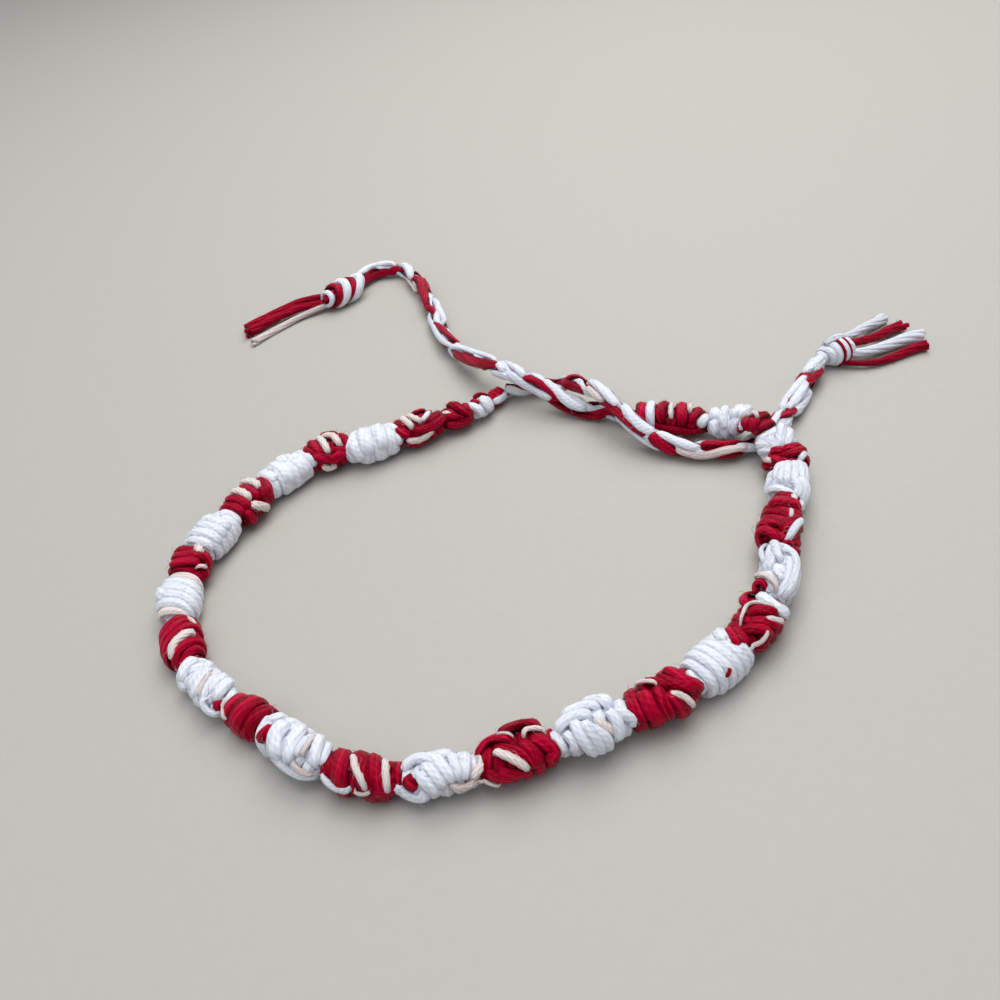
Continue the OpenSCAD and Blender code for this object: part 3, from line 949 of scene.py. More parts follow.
    Group(WHITE, 5.6, 0.88, 0.88, even(6) + (
        Turn(-0.75, -0.8, -0.85, 1.1, 0.1), Turn(-0.45, -0.5, -0.55, 1.1, 0.15),
        Turn(-0.15, -0.2, -0.25, 1.1, 0.15), Turn(0.15, 0.1, 0.05, 1.1, 0.15),
        Turn(0.45, 0.35, 0.3, 1.1, 0.15), Turn(0.72, 0.55, 0.5, 1.1, 0.15),
    ), (
        Run(WHITE, ((0.4, 95), (0.55, 118), (0.75, 140)), 1.2, 0.4),
        Run(RED, ((-0.4, 28), (-0.3, 33), (-0.15, 42)), 0.4, 0.25),
        Run(WHITE, ((-1.05, 105), (-1.2, 75), (-1.1, 45), (-1.0, 20), (-0.95, 0)), 0.7, 0.15),
    )),
    Group(RED, 5.3, 0.90, 0.88, even(5), (
        Run(RED, ((-0.95, 15), (-0.75, 8), (-0.55, 12)), 0.8, 0.1),
        Run(RED, ((-0.9, 93), (-0.6, 68), (-0.45, 48), (-0.4, 15)), 1.1, 0.2),
        Run(RED, ((-0.5, 90), (-0.25, 70), (-0.05, 40), (0.05, 22)), 1.1, 0.2),
        Run(RED, ((-0.2, 100), (0.08, 88), (0.25, 68), (0.25, 52)), 1.1, 0.3),
        Run(RED, ((-1.1, 135), (-1.25, 110), (-1.4, 88), (-1.55, 70)), 1.1, 0.4),
        Run(RED, ((-0.95, 120), (-1.0, 95), (-1.1, 75), (-1.1, 58)), 1.1, 0.35),
        Run(CREAM, ((-0.15, 70), (-0.02, 56), (0.12, 40), (0.25, 25)), 0.65, 0.3),
        Run(CREAM, ((-0.42, 48), (-0.6, 40), (-0.85, 33), (-1.1, 34), (-1.3, 38)), 0.5, 0.35),
        Run(CREAM, ((-0.8, 100), (-0.4, 106), (0.0, 110), (0.25, 98), (0.35, 80), (0.4, 62)), 0.45, 0.35),
        Run(RED, ((0.0, 112), (0.2, 128), (0.5, 146), (0.9, 152), (1.25, 148), (1.3, 125), (1.2, 108)),
            1.0, 0.45),
        Run(WHITE, ((1.1, 118), (0.7, 100), (0.55, 80), (0.5, 60), (0.55, 38), (0.75, 10)), 1.2, 0.3),
    )),
    Group(WHITE, 6.4, 0.80, 1.00, even(6), (
        Run(WHITE, ((-0.3, 128), (0.1, 122), (0.6, 118), (1.0, 112)), 0.8, 0.05),
        Run(WHITE, ((-0.3, 112), (0.1, 108), (0.6, 104), (1.0, 100)), 0.8, 0.05),
        Run(WHITE, ((-0.35, 95), (-0.5, 82), (-0.6, 72)), 0.7, 0.1),
        Run(WHITE, ((-0.6, 108), (-0.8, 95), (-0.95, 84)), 0.7, 0.15),
        Run(WHITE, ((0.3, 50), (0.0, 30), (-0.4, 20), (-0.9, 15)), 0.9, 0.15),
        Run(WHITE, ((0.3, 72), (0.1, 62), (-0.25, 58), (-0.7, 55), (-1.1, 58)), 0.9, 0.1),
        Run(WHITE, ((0.45, 88), (0.5, 75), (0.42, 58), (0.15, 45), (-0.2, 42), (-0.6, 38), (-1.1, 40)),
            0.9, 0.3),
        Run(CREAM, ((-0.6, 150), (-0.65, 120), (-0.75, 98), (-1.0, 73)), 0.6, 0.5),
        Run(WHITE, ((1.1, 150), (0.6, 145), (-0.1, 125)), 0.55, 0.3),
        Run(WHITE, ((1.0, 120), (0.75, 103), (0.3, 95), (0.05, 87)), 0.8, 0.3),
    )),
    Group(RED, 6.6, 0.88, 0.98, (
        Turn(-0.87, -0.75, -0.63, 1.7, -0.2), Turn(-0.37, -0.25, -0.13, 1.8, -0.15),
        Turn(0.13, 0.25, 0.37, 1.8, -0.15), Turn(0.63, 0.75, 0.87, 1.7, -0.2),
    ), (
        Run(RED, ((0.42, 125), (0.5, 100), (0.54, 70), (0.5, 40)), 1.5, 0.25),
        Run(RED, ((0.85, 120), (0.92, 95), (0.92, 70), (0.85, 40)), 1.4, 0.25),
        Run(RED, ((0.1, 75), (0.15, 50), (0.1, 25)), 1.5, 0.15),
        Run(RED, ((-0.9, 190), (-0.4, 170), (-0.3, 145), (-0.4, 120)), 1.0, 0.1),
        Run(RED, ((-1.35, 185), (-0.9, 175), (-0.6, 160), (-0.62, 135), (-0.8, 110), (-1.05, 92)), 1.1, 0.3),
        Run(RED, ((-0.7, 85), (-0.35, 70), (-0.05, 50), (0.05, 25)), 1.1, 0.2),
        Run(RED, ((-1.0, 60), (-0.6, 48), (-0.3, 30), (-0.2, 10)), 1.1, 0.15),
        Run(RED, ((-1.05, 72), (-1.0, 50), (-0.9, 30), (-0.75, 10)), 1.1, 0.3),
        Run(RED, ((-1.4, 45), (-1.3, 30), (-1.1, 15)), 1.0, 0.3),
        Run(CREAM, ((0.15, 72), (0.0, 70), (-0.2, 70)), 0.5, 0.35),
        Run(WHITE, ((0.05, 30), (-0.35, 48), (-0.75, 62), (-1.0, 68)), 0.75, 0.42),
    )),
    Group(WHITE, 5.3, 0.90, 0.96, even(5), (
        Run(WHITE, ((0.9, 108), (0.3, 112), (-0.2, 112), (-0.5, 108)), 0.9, 0.15),
        Run(WHITE, ((0.9, 98), (0.3, 98), (-0.2, 97), (-0.55, 94)), 0.9, 0.2),
        Run(WHITE, ((0.9, 88), (0.3, 83), (-0.2, 81), (-0.5, 80)), 0.9, 0.2),
        Run(WHITE, ((1.05, 72), (0.4, 66), (-0.1, 62), (-0.4, 60)), 0.9, 0.2),
        Run(WHITE, ((1.05, 62), (0.1, 50), (-0.3, 46)), 0.9, 0.15),
        Run(WHITE, ((0.9, 125), (0.3, 128), (-0.3, 132)), 0.9, 0.1),
        Run(WHITE, ((-0.1, 150), (-0.3, 165), (-0.6, 182)), 1.0, 0.2),
        Run(WHITE, ((0.4, 150), (0.1, 168), (-0.1, 185)), 1.0, 0.15),
        Run(WHITE, ((-0.75, 165), (-0.8, 140), (-0.85, 115), (-0.95, 90), (-1.1, 70), (-1.4, 60)), 0.9, 0.35),
        Run(WHITE, ((-0.35, 85), (-0.6, 65), (-0.9, 55), (-1.3, 52)), 1.1, 0.3),
        Run(WHITE, ((-0.2, 75), (-0.45, 50), (-0.75, 30), (-1.1, 20), (-1.4, 25)), 1.3, 0.35),
    )),
    Group(RED, 2.9, 0.96, 0.82, even(3), (
        Run(RED, ((-0.8, 115), (-0.5, 130), (-0.2, 145)), 0.9, 0.1),
        Run(RED, ((0.2, 100), (0.5, 120), (0.8, 138)), 1.0, 0.2),
        Run(RED, ((-0.4, 100), (-0.2, 80), (0.1, 60), (0.4, 40)), 1.1, 0.25),
        Run(RED, ((0.4, 100), (0.5, 80), (0.6, 60), (0.7, 40)), 1.1, 0.2),
        Run(RED, ((-0.4, 170), (0.0, 182), (0.5, 198)), 1.1, 0.3),
        Run(CREAM, ((-0.5, 145), (-0.2, 155), (0.1, 168)), 0.7, 0.3),
        Run(WHITE, ((-0.8, 66), (-0.5, 60), (-0.2, 50)), 0.6, 0.3),
    )),
    Group(WHITE, 2.8, 1.00, 0.58, even(3), (
        Run(WHITE, ((-0.9, 95), (-0.3, 70), (0.2, 45), (0.4, 15)), 1.2, 0.3),
        Run(WHITE, ((-0.9, 92), (-0.1, 85), (0.5, 65), (0.8, 35)), 1.2, 0.3),
        Run(WHITE, ((-0.9, 100), (-0.2, 108), (0.4, 105)), 1.2, 0.3),
        Run(WHITE, ((-0.8, 115), (-0.3, 140), (0.1, 170)), 1.1, 0.2),
        Run(WHITE, ((-0.3, 115), (0.2, 140), (0.6, 170)), 1.1, 0.2),
    )),
    Group(RED, 2.7, 0.78, 0.50, even(3), (
        Run(RED, ((-0.2, 110), (-0.4, 135), (-0.6, 170)), 1.1, 0.25),
        Run(RED, ((0.7, 110), (0.5, 140), (0.3, 170)), 1.1, 0.2),
        Run(RED, ((1.0, 150), (1.05, 175), (1.0, 200)), 1.0, 0.3),
        Run(WHITE, ((0.9, 112), (0.75, 145), (0.6, 180)), 0.6, 0.3),
        Run(CREAM, ((1.2, 95), (0.7, 92), (0.2, 92), (-0.2, 100)), 0.7, 0.35),
    )),
    Group(WHITE, 3.8, 0.86, 0.80, even(4), (
        Run(WHITE, ((-0.3, 45), (-0.45, 75), (-0.5, 112)), 1.3, 0.4),
        Run(WHITE, ((-0.85, 45), (-0.85, 75), (-0.8, 108)), 1.3, 0.35),
        Run(WHITE, ((0.45, 45), (0.42, 70), (0.25, 105), (0.0, 150)), 1.0, 0.3),
        Run(WHITE, ((0.3, 80), (0.1, 120), (-0.15, 160)), 0.9, 0.2),
        Run(WHITE, ((0.95, 45), (0.9, 75), (0.8, 112)), 1.3, 0.4),
        Run(WHITE, ((0.8, 125), (0.65, 155), (0.5, 190)), 1.1, 0.1),
    )),
    Group(RED, 8.2, 0.76, 0.80, even(8), (
        Run(WHITE, ((-0.95, 95), (-0.85, 125), (-0.75, 165)), 1.1, 0.15),
        Run(RED, ((-0.66, 45), (-0.64, 80), (-0.55, 120), (-0.5, 150)), 1.0, 0.1),
        Run(RED, ((-0.2, 40), (-0.22, 75), (-0.25, 115), (-0.3, 155)), 1.35, 0.4),
        Run(RED, ((0.28, 40), (0.3, 75), (0.28, 115), (0.2, 155)), 1.25, 0.35),
        Run(RED, ((1.0, 60), (0.85, 95), (0.75, 130), (0.65, 165)), 1.3, 0.35),
        Run(RED, ((0.62, 165), (0.2, 178), (-0.3, 185), (-0.8, 190)), 1.1, 0.2),
        Run(CREAM, ((-0.4, 45), (-0.43, 70), (-0.46, 98)), 0.75, 0.35),
        Run(CREAM, ((0.08, 62), (0.05, 90), (-0.02, 135)), 0.7, 0.35),
        Run(WHITE, ((0.65, 65), (0.6, 95), (0.5, 140), (0.42, 195)), 1.05, 0.45),
    )),
]

BAND_ROUTE = [
    (3.8, 26.4), (0.5, 23.2), (-6.5, 20.8), (-12.0, 19.0), (-17.0, 18.9), (-22.0, 15.6),
    (-26.5, 10.2), (-29.8, 4.0), (-30.2, -2.0), (-28.6, -8.2), (-24.8, -13.8), (-20.5, -17.6),
    (-15.5, -22.4), (-9.5, -24.9), (-3.0, -25.0), (5.5, -23.5), (14.0, -20.6), (20.8, -15.9),
    (24.2, -11.2), (26.4, -5.2), (29.1, 0.0), (30.4, 3.8), (30.3, 7.0), (28.7, 9.8),
    (25.8, 12.6), (21.0, 14.7), (17.8, 16.8),
]


@dataclass
class KnottedBand:
    """The band of thirty groups of knots, with the same form that its solids have.

    Each group is a barrel on a rounded square, and the band has a hump where it lies over a tie. Its
    lengths are in millimetres and its angles in degrees.
    """

    width: float = 4.8
    height: float = 4.0
    gap: float = 0.2
    end_share: float = 0.66
    end_power: float = 3.5
    square: float = 0.85
    hump: float = 2.4
    hump_reach: float = 2.1
    hump_at: float = 142.1
    lowest_side: float = 72.0
    near: float = 0.2
    turn_angle: float = 6.0
    turn_share: float = 0.96
    turn_flat: float = 0.8
    turn_height: float = 0.88
    dive_reach: float = 0.12
    taper_reach: float = 0.35
    core_reach: float = 1.12
    core_inset: float = 1.0
    core_points: int = 16

    def __post_init__(self) -> None:
        """Work out the centreline and where each group starts."""
        self.line = smooth(np.array(BAND_ROUTE), 12)
        self.far = lengths(self.line)
        self.starts = np.concatenate([[0.0], np.cumsum([g.length for g in GROUPS])])
        self.lowest = float(self.pushed(np.sin(np.radians(self.lowest_side)))) / 2

    def at(self, s: np.ndarray) -> np.ndarray:
        """Points of the centreline at distances along it."""
        return np.stack([np.interp(s, self.far, self.line[:, axis]) for axis in (0, 1)], -1)

    def heading(self, s: np.ndarray) -> np.ndarray:
        """Directions of the centreline at distances along it."""
        return unit(self.at(s + self.near) - self.at(s - self.near))

    def lift(self, s: np.ndarray) -> np.ndarray:
        """How high the band is lifted over the tie."""
        return self.hump * np.exp(-(((s - self.hump_at) / self.hump_reach) ** 2))

    def pushed(self, v: np.ndarray) -> np.ndarray:
        """A share of a circle's sine or cosine, pushed out towards a rounded square."""
        return np.sign(v) * np.abs(v) ** self.square

    def along(self, number: int, place: np.ndarray) -> np.ndarray:
        """Distances along the band of places along a group, from -1 to 1."""
        return self.starts[number] + self.gap / 2 + (GROUPS[number].length - self.gap) * (place + 1) / 2

    def on_form(
        self, number: int, place: np.ndarray, angle: np.ndarray, sink: float
    ) -> tuple[np.ndarray, np.ndarray]:
        """Points under the surface of a group's form.

        Args:
            number: The group, from 0.
            place: Places along the group, from -1 to 1.
            angle: Degrees round it: 0 outside the loop, 90 on top, 180 inside.
            sink: How deep under the form's surface the points lie.

        Returns:
            The points, and the outward directions there.
        """
        s = self.along(number, place)
        here = np.clip(np.searchsorted(self.starts, s, "right") - 1, 0, len(GROUPS) - 1)
        length, wide, high = np.array([(g.length, g.width, g.height) for g in GROUPS])[here].T
        local = (s - self.starts[here] - self.gap / 2) / (length - self.gap) * 2 - 1
        size = barrel(local, self.end_share, self.end_power)
        turn = np.radians(angle)
        slim = GROUPS[number].slim
        centre, ahead = self.at(s), self.heading(s)
        side = np.stack([ahead[:, 1], -ahead[:, 0]], -1)
        across = self.pushed(np.cos(turn)) * (wide * self.width * size / 2 - sink - slim)
        up = self.pushed(np.sin(turn)) * (high * self.height * size / 2 - sink - slim)
        low = self.lowest * high * self.height + self.lift(s) - slim
        points = np.column_stack([centre + side * across[:, None], low + up])
        out = np.column_stack([side * np.cos(turn)[:, None], np.sin(turn)])
        return points, unit(out)

    def turn(self, number: int, turn: Turn, rng: np.random.Generator) -> Strand:
        """One closed turn of floss round a group.

        Args:
            number: The group, from 0.
            turn: The turn.
            rng: The source of its tone and phase.

        Returns:
            The strand.
        """
        angle = np.arange(0, 360, self.turn_angle)
        a = np.radians(angle)
        under = turn.outer + turn.inner - turn.top
        mean = (turn.outer + turn.top + turn.inner + under) / 4
        place = (
            mean
            + (turn.outer - turn.inner) / 2 * np.cos(a)
            + (turn.top - under) / 2 * np.sin(a)
            + (turn.outer - turn.top + turn.inner - under) / 4 * np.cos(2 * a)
        )
        flat = min(self.turn_flat, self.turn_height / turn.width)
        sink = turn.width * flat / 2 - turn.stand
        points, out = self.on_form(number, place, angle, sink)
        both = evenly(np.column_stack([points, out]), STEP, closed=True)
        floss = turn.floss or GROUPS[number].floss
        return Strand(both[:, :3], turn.width * self.turn_share, floss, both[:, 3:], closed=True, flat=flat,
                      tone=rng.uniform(*TONES), phase=rng.uniform(*PHASES))

    def run(self, number: int, run: Run, rng: np.random.Generator) -> Strand:
        """A run of floss on a group, whose ends dive between its turns.

        Args:
            number: The group, from 0.
            run: The run.
            rng: The source of its tone and phase.

        Returns:
            The strand.
        """
        lay = TIGHT_LAY if run.floss is CREAM else SOFT_LAY
        way, dive = run.curve(self.dive_reach)
        points, out = self.on_form(number, way[:, 0], way[:, 1], run.width * lay.flat / 2 - run.stand)
        points = points - out * (dive * run.width)[:, None]
        both = evenly(np.column_stack([points, out]), STEP)
        return lay.strand(run, both, self.taper_reach, rng)

    def core(self, number: int) -> Strand:
        """The bundle of floss that a group's turns lie round.

        Args:
            number: The group, from 0.

        Returns:
            The strand.
        """
        g = GROUPS[number]
        place = np.linspace(-self.core_reach, self.core_reach, self.core_points)
        s = self.along(number, place)
        low = self.lowest * g.height * self.height + self.lift(s) - g.slim
        points = np.column_stack([self.at(s), low])
        up = np.tile([0.0, 0.0, 1.0], (len(place), 1))
        wide = g.width * self.width - self.core_inset - 2 * g.slim
        high = g.height * self.height - self.core_inset - 2 * g.slim
        # Tone 0.2, the lowest, leaves the core darker than the turns round it, as painted shade where it lies
        # hidden.
        return Strand(points, wide, g.floss, up, flat=high / wide, tone=0.2, turn_length=30.0,
                      swell=barrel(place, self.end_share, self.end_power))

    def build(self, nodes: list[str], materials: list[bpy.types.Material]) -> list[bpy.types.Object]:
        """Make a piece for each group.

        Args:
            nodes: The nodes of the groups, in order along the band.
            materials: The materials in the order of Floss.

        Returns:
            The groups' objects.
        """
        pieces = []
        for number, (node, group) in enumerate(zip(nodes, GROUPS)):
            rng = np.random.default_rng(SEED + number)
            piece = FlossPiece(f"{node}_floss", [self.core(number)])
            piece.strands += [self.turn(number, t, rng) for t in group.turns]
            piece.strands += [self.run(number, r, rng) for r in group.runs]
            piece.fuzz(rng)
            made = piece.build(materials)
            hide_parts(node)
            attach(made, BODY)
            pieces.append(made)
        return pieces


# ---------------------------------------------------------------- ties, end knots and tassels


TIE_LEFT_ROUTE = [
    (4.4, 26.5, 1.1), (5.7, 26.4, 1.1), (7.3, 26.1, 1.1), (9.2, 25.6, 1.3), (11.0, 24.4, 2.0),
    (12.5, 22.2, 3.1), (13.9, 19.8, 3.4), (15.2, 17.3, 3.4), (16.4, 15.0, 3.0), (17.6, 13.1, 2.3),
    (19.0, 11.6, 1.6), (20.6, 10.5, 1.2), (22.4, 9.6, 1.1), (24.3, 8.9, 1.1), (26.2, 8.5, 1.1),
    (27.9, 8.7, 1.1), (29.5, 9.5, 1.1), (31.1, 10.7, 1.1), (32.7, 12.2, 1.1), (34.5, 14.4, 1.1),
    (36.7, 17.2, 1.1), (38.5, 19.6, 1.2), (39.7, 21.1, 1.4),
]
TIE_RIGHT_ROUTE = [
    (17.4, 17.0, 1.2), (16.2, 18.0, 1.1), (14.4, 19.1, 1.1), (12.5, 20.2, 1.2), (10.8, 21.3, 1.7),
    (9.3, 22.5, 2.4), (7.9, 23.8, 3.1), (6.4, 24.9, 3.4), (5.0, 26.3, 3.4), (3.7, 28.3, 3.2),
    (2.3, 30.6, 2.8), (0.8, 33.3, 2.1), (-0.8, 36.6, 1.5), (-2.0, 40.8, 1.1), (-2.9, 46.2, 1.1),
    (-3.8, 52.0, 1.1), (-4.9, 57.8, 1.1), (-6.6, 61.8, 1.1), (-8.7, 63.6, 1.1), (-11.0, 63.8, 1.1),
    (-12.9, 62.4, 1.2), (-14.1, 60.3, 1.4),
]

# A run's points are its distance along the route and its angle round it, from the side that the photo shows.
TIE_LEFT_RUNS = (
    Run(RED, ((7.8, 15), (9.0, 35), (10.5, 58), (12.7, 68)), 1.3),
    Run(WHITE, ((11.5, -60), (12.8, -45), (14.0, -30), (15.3, -15), (16.5, 0), (17.6, 12)), 1.2, 0.15),
    Run(CREAM, ((12.3, 20), (13.3, 32), (14.3, 42), (15.3, 50)), 0.9),
    Run(RED, ((15.2, 62), (16.5, 52), (18.0, 45), (19.5, 40), (21.0, 30), (22.3, 18)), 1.1),
    Run(WHITE, ((17.6, -35), (18.6, -8), (20.0, 5), (21.3, 0), (22.6, -22)), 1.3, 0.2),
    Run(WHITE, ((17.3, 98), (19.0, 90), (21.0, 86), (22.5, 78), (24.0, 82)), 0.7, 0.15),
    Run(RED, ((22.0, 5), (23.0, 25), (24.2, 48), (25.4, 72)), 1.4, 0.15),
    Run(WHITE, ((22.4, -28), (23.5, -35), (24.6, -30), (25.6, -18), (26.6, -5), (27.6, 5)), 1.1, 0.15),
    Run(CREAM, ((24.8, 25), (26.0, 42), (27.5, 52), (28.6, 38), (29.8, 15), (31.0, 5), (32.4, 8)), 0.9, 0.2),
    Run(RED, ((27.6, -30), (28.8, -38), (30.0, -35)), 0.9),
    Run(RED, ((29.2, 60), (30.2, 50), (31.2, 42)), 0.8),
    Run(WHITE, ((38.6, -62), (37.5, -48), (36.3, -35), (35.2, -22), (34.0, -5), (33.0, 15)), 0.8, 0.25),
    Run(RED, ((38.8, -84), (37.6, -95), (36.4, -100), (35.4, -95)), 1.1),
    Run(WHITE, ((38.4, 48), (37.4, 52), (36.5, 30), (35.8, 5)), 1.2, 0.2),
    Run(RED, ((35.6, 20), (35.2, 30), (34.8, 38)), 0.5),
    Run(RED, ((40.2, 35), (39.3, 15), (38.4, -8), (37.5, -28)), 0.75),
    Run(WHITE, ((46.2, -38), (44.8, -52), (43.2, -66), (41.8, -88), (40.4, -80), (39.0, -70)), 1.2, 0.2),
    Run(WHITE, ((45.4, -20), (43.8, -12), (42.2, -10), (40.6, -15), (39.2, -30)), 1.1),
    Run(WHITE, ((44.8, 62), (43.4, 78), (42.0, 75), (40.6, 55), (39.4, 30)), 1.3, 0.25),
    Run(RED, ((46.8, -95), (45.4, -90), (44.0, -82)), 1.0),
    Run(RED, ((48.9, 55), (47.3, 35), (46.0, 12), (44.4, -5)), 1.0, 0.2),
    Run(WHITE, ((50.2, -5), (48.8, -18), (47.4, -45), (46.4, -75)), 1.3, 0.2),
    Run(WHITE, ((50.0, 20), (48.6, 5), (47.2, -10)), 1.1),
)
TIE_RIGHT_RUNS = (
    Run(RED, ((2.8, -48), (4.3, -72), (6.0, -90), (7.5, -86), (9.0, -86), (10.6, -98)), 1.1, 0.2),
    Run(WHITE, ((11.8, 42), (10.6, 32), (9.5, 20), (8.5, 2), (7.4, -12), (6.2, -16), (5.0, -14)), 1.2, 0.2),
    Run(RED, ((14.0, -18), (12.8, -5), (11.5, -5), (10.0, -8), (8.8, -18), (8.0, -32)), 0.9),
    Run(WHITE, ((16.0, -15), (14.8, -25), (13.8, -45), (12.8, -72), (11.5, -86), (10.2, -66), (8.8, -40)),
        1.2, 0.2),
    Run(WHITE, ((18.2, 80), (17.2, 88), (16.0, 75), (14.8, 52), (14.0, 25), (13.0, -5)), 1.05, 0.2),
    Run(WHITE, ((18.6, -80), (17.2, -62), (15.8, -46), (14.8, -50), (13.6, -76)), 0.9),
    Run(WHITE, ((17.6, 22), (16.8, 5), (16.0, -8)), 0.9),
    Run(RED, ((27.8, -52), (26.0, -46), (24.0, -40), (22.0, -38), (20.0, -25), (18.5, -5), (17.4, 8)),
        1.35, 0.15),
    Run(WHITE, ((28.7, -28), (27.5, 0), (26.0, 35), (24.0, 46), (22.0, 50), (20.0, 60), (18.4, 76)),
        1.0, 0.15),
    Run(RED, ((35.0, -8), (33.5, 8), (32.0, 20), (30.5, 35), (29.0, 55), (27.8, 78)), 0.95, 0.15),
    Run(WHITE, ((39.6, -80), (37.6, -72), (36.0, -62), (34.0, -55), (32.0, -45), (30.0, -30), (28.3, -8)),
        0.9, 0.15),
    Run(WHITE, ((43.0, 85), (41.5, 78), (40.0, 72), (38.5, 68), (37.0, 76), (35.6, 92)), 1.4, 0.3),
    Run(RED, ((50.4, 35), (49.0, 25), (47.5, 15), (46.0, 5), (44.5, -8), (43.0, -20), (41.5, -35),
              (40.3, -58)), 1.4, 0.15),
    Run(RED, ((49.6, 58), (47.8, 58), (46.0, 48), (44.6, 32)), 1.0),
    Run(WHITE, ((55.2, 62), (53.8, 42), (52.4, 18), (51.2, -12), (50.2, -38)), 1.3, 0.25),
    Run(CREAM, ((51.8, -58), (50.2, -68), (48.6, -75), (47.2, -86)), 0.5, 0.2),
    Run(WHITE, ((63.0, 35), (61.5, 30), (60.2, 50), (58.8, 56), (57.2, 56), (55.8, 66)), 1.2, 0.15),
    Run(RED, ((64.0, -98), (62.5, -80), (61.0, -68), (59.5, -62), (58.0, -52), (56.8, -50), (55.4, -72)),
        1.3, 0.2),
)

# Each strand's way round the route, its first angle and its floss.
BRAID = ((1, 0.0, WHITE), (1, 180.0, WHITE), (-1, 90.0, RED), (-1, 270.0, RED))


@dataclass
class BraidedTie:
    """A loose round braid on its route: two red and two white strands, and the ridges that stand out of it.

    Its lengths are in millimetres. The ridges stand over the braid by cover, and their ends dive into it
    by a share of their width.
    """

    node: str
    route: list[tuple[float, float, float]]
    runs: tuple[Run, ...]
    diameter: float = 2.1
    repeat: float = 10.5
    strand: float = 1.0
    flat: float = 0.6
    reach: float = 0.5
    weave: float = 0.26
    cover: float = 0.05
    dive: float = 0.8
    dive_reach: float = 0.14
    taper_reach: float = 0.3
    deepest: float = 0.1
    path_step: float = 0.2
    braid_step: float = 0.26
    facing: tuple[float, float, float] = (0.0, -0.73, 0.68)

    def path(self) -> np.ndarray:
        """The centreline at even steps."""
        return evenly(smooth(np.array(self.route), 10), self.path_step)

    def laid(self, distance: np.ndarray, angle: np.ndarray, out: np.ndarray) -> np.ndarray:
        """Points beside the route, with their outward directions.

        Args:
            distance: Distances along the route.
            angle: Degrees round it.
            out: Distances from it.

        Returns:
            Rows of a point and a direction.
        """
        line = self.path()
        t = unit(np.gradient(line, axis=0))
        front = unit(np.array(self.facing) - t * (t @ np.array(self.facing))[:, None])
        data = np.column_stack([line, front, np.cross(t, front)])
        far = lengths(line)
        row = np.stack([np.interp(distance, far, data[:, k]) for k in range(9)], axis=1)
        turn = np.radians(angle)[:, None]
        away = unit(row[:, 3:6] * np.cos(turn) + row[:, 6:] * np.sin(turn))
        return np.column_stack([row[:, :3] + away * out[:, None], away])

    def run(self, run: Run, rng: np.random.Generator) -> Strand:
        """A ridge of the braid, whose ends dive between the others.

        Args:
            run: The ridge.
            rng: The source of its tone and phase.

        Returns:
            The strand.
        """
        way, dive = run.curve(self.dive_reach)
        out = self.diameter / 2 + self.cover + run.stand - run.width * (SOFT_LAY.flat / 2 + self.dive * dive)
        both = evenly(self.laid(way[:, 0], way[:, 1], np.maximum(out, self.deepest)), STEP)
        return SOFT_LAY.strand(run, both, self.taper_reach, rng)

    def build(self, materials: list[bpy.types.Material]) -> bpy.types.Object:
        """Braid the four strands and lay the ridges over them.

        Args:
            materials: The materials in the order of Floss.

        Returns:
            The braid's object.
        """
        distance = np.arange(0, lengths(self.path())[-1], 0.25)
        rng = np.random.default_rng(SEED)
        piece = FlossPiece(f"{self.node}_braid")
        for way, offset, floss in BRAID:
            angle = offset + way * 360 * distance / self.repeat
            out = self.reach + way * self.weave * np.sin(2 * np.radians(angle))
            both = evenly(self.laid(distance, angle, out), self.braid_step)
            piece.strands.append(Strand(both[:, :3], self.strand, floss, both[:, 3:], flat=self.flat,
                                        tone=rng.uniform(*CALM_TONES)))
        piece.strands += [self.run(run, rng) for run in self.runs]
        piece.fuzz(rng)
        made = piece.build(materials)
        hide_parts(self.node)
        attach(made, BODY)
        return made

    def declare(self, made: bpy.types.Object, with_pieces: list[bpy.types.Object]) -> None:
        """Args:
            made: The braid's object; not used.
            with_pieces: Its knot and its tassel; not used.
        """


@dataclass(frozen=True)
class Wrap:
    """A wrap of floss round an end knot.

    Its middle along the knot, its slant to the side and the lean of its top are shares of the knot's
    length, and its width and how far it stands out are in millimetres.
    """

    middle: float
    slant: float
    lean: float
    floss: Floss
    width: float
    stand: float


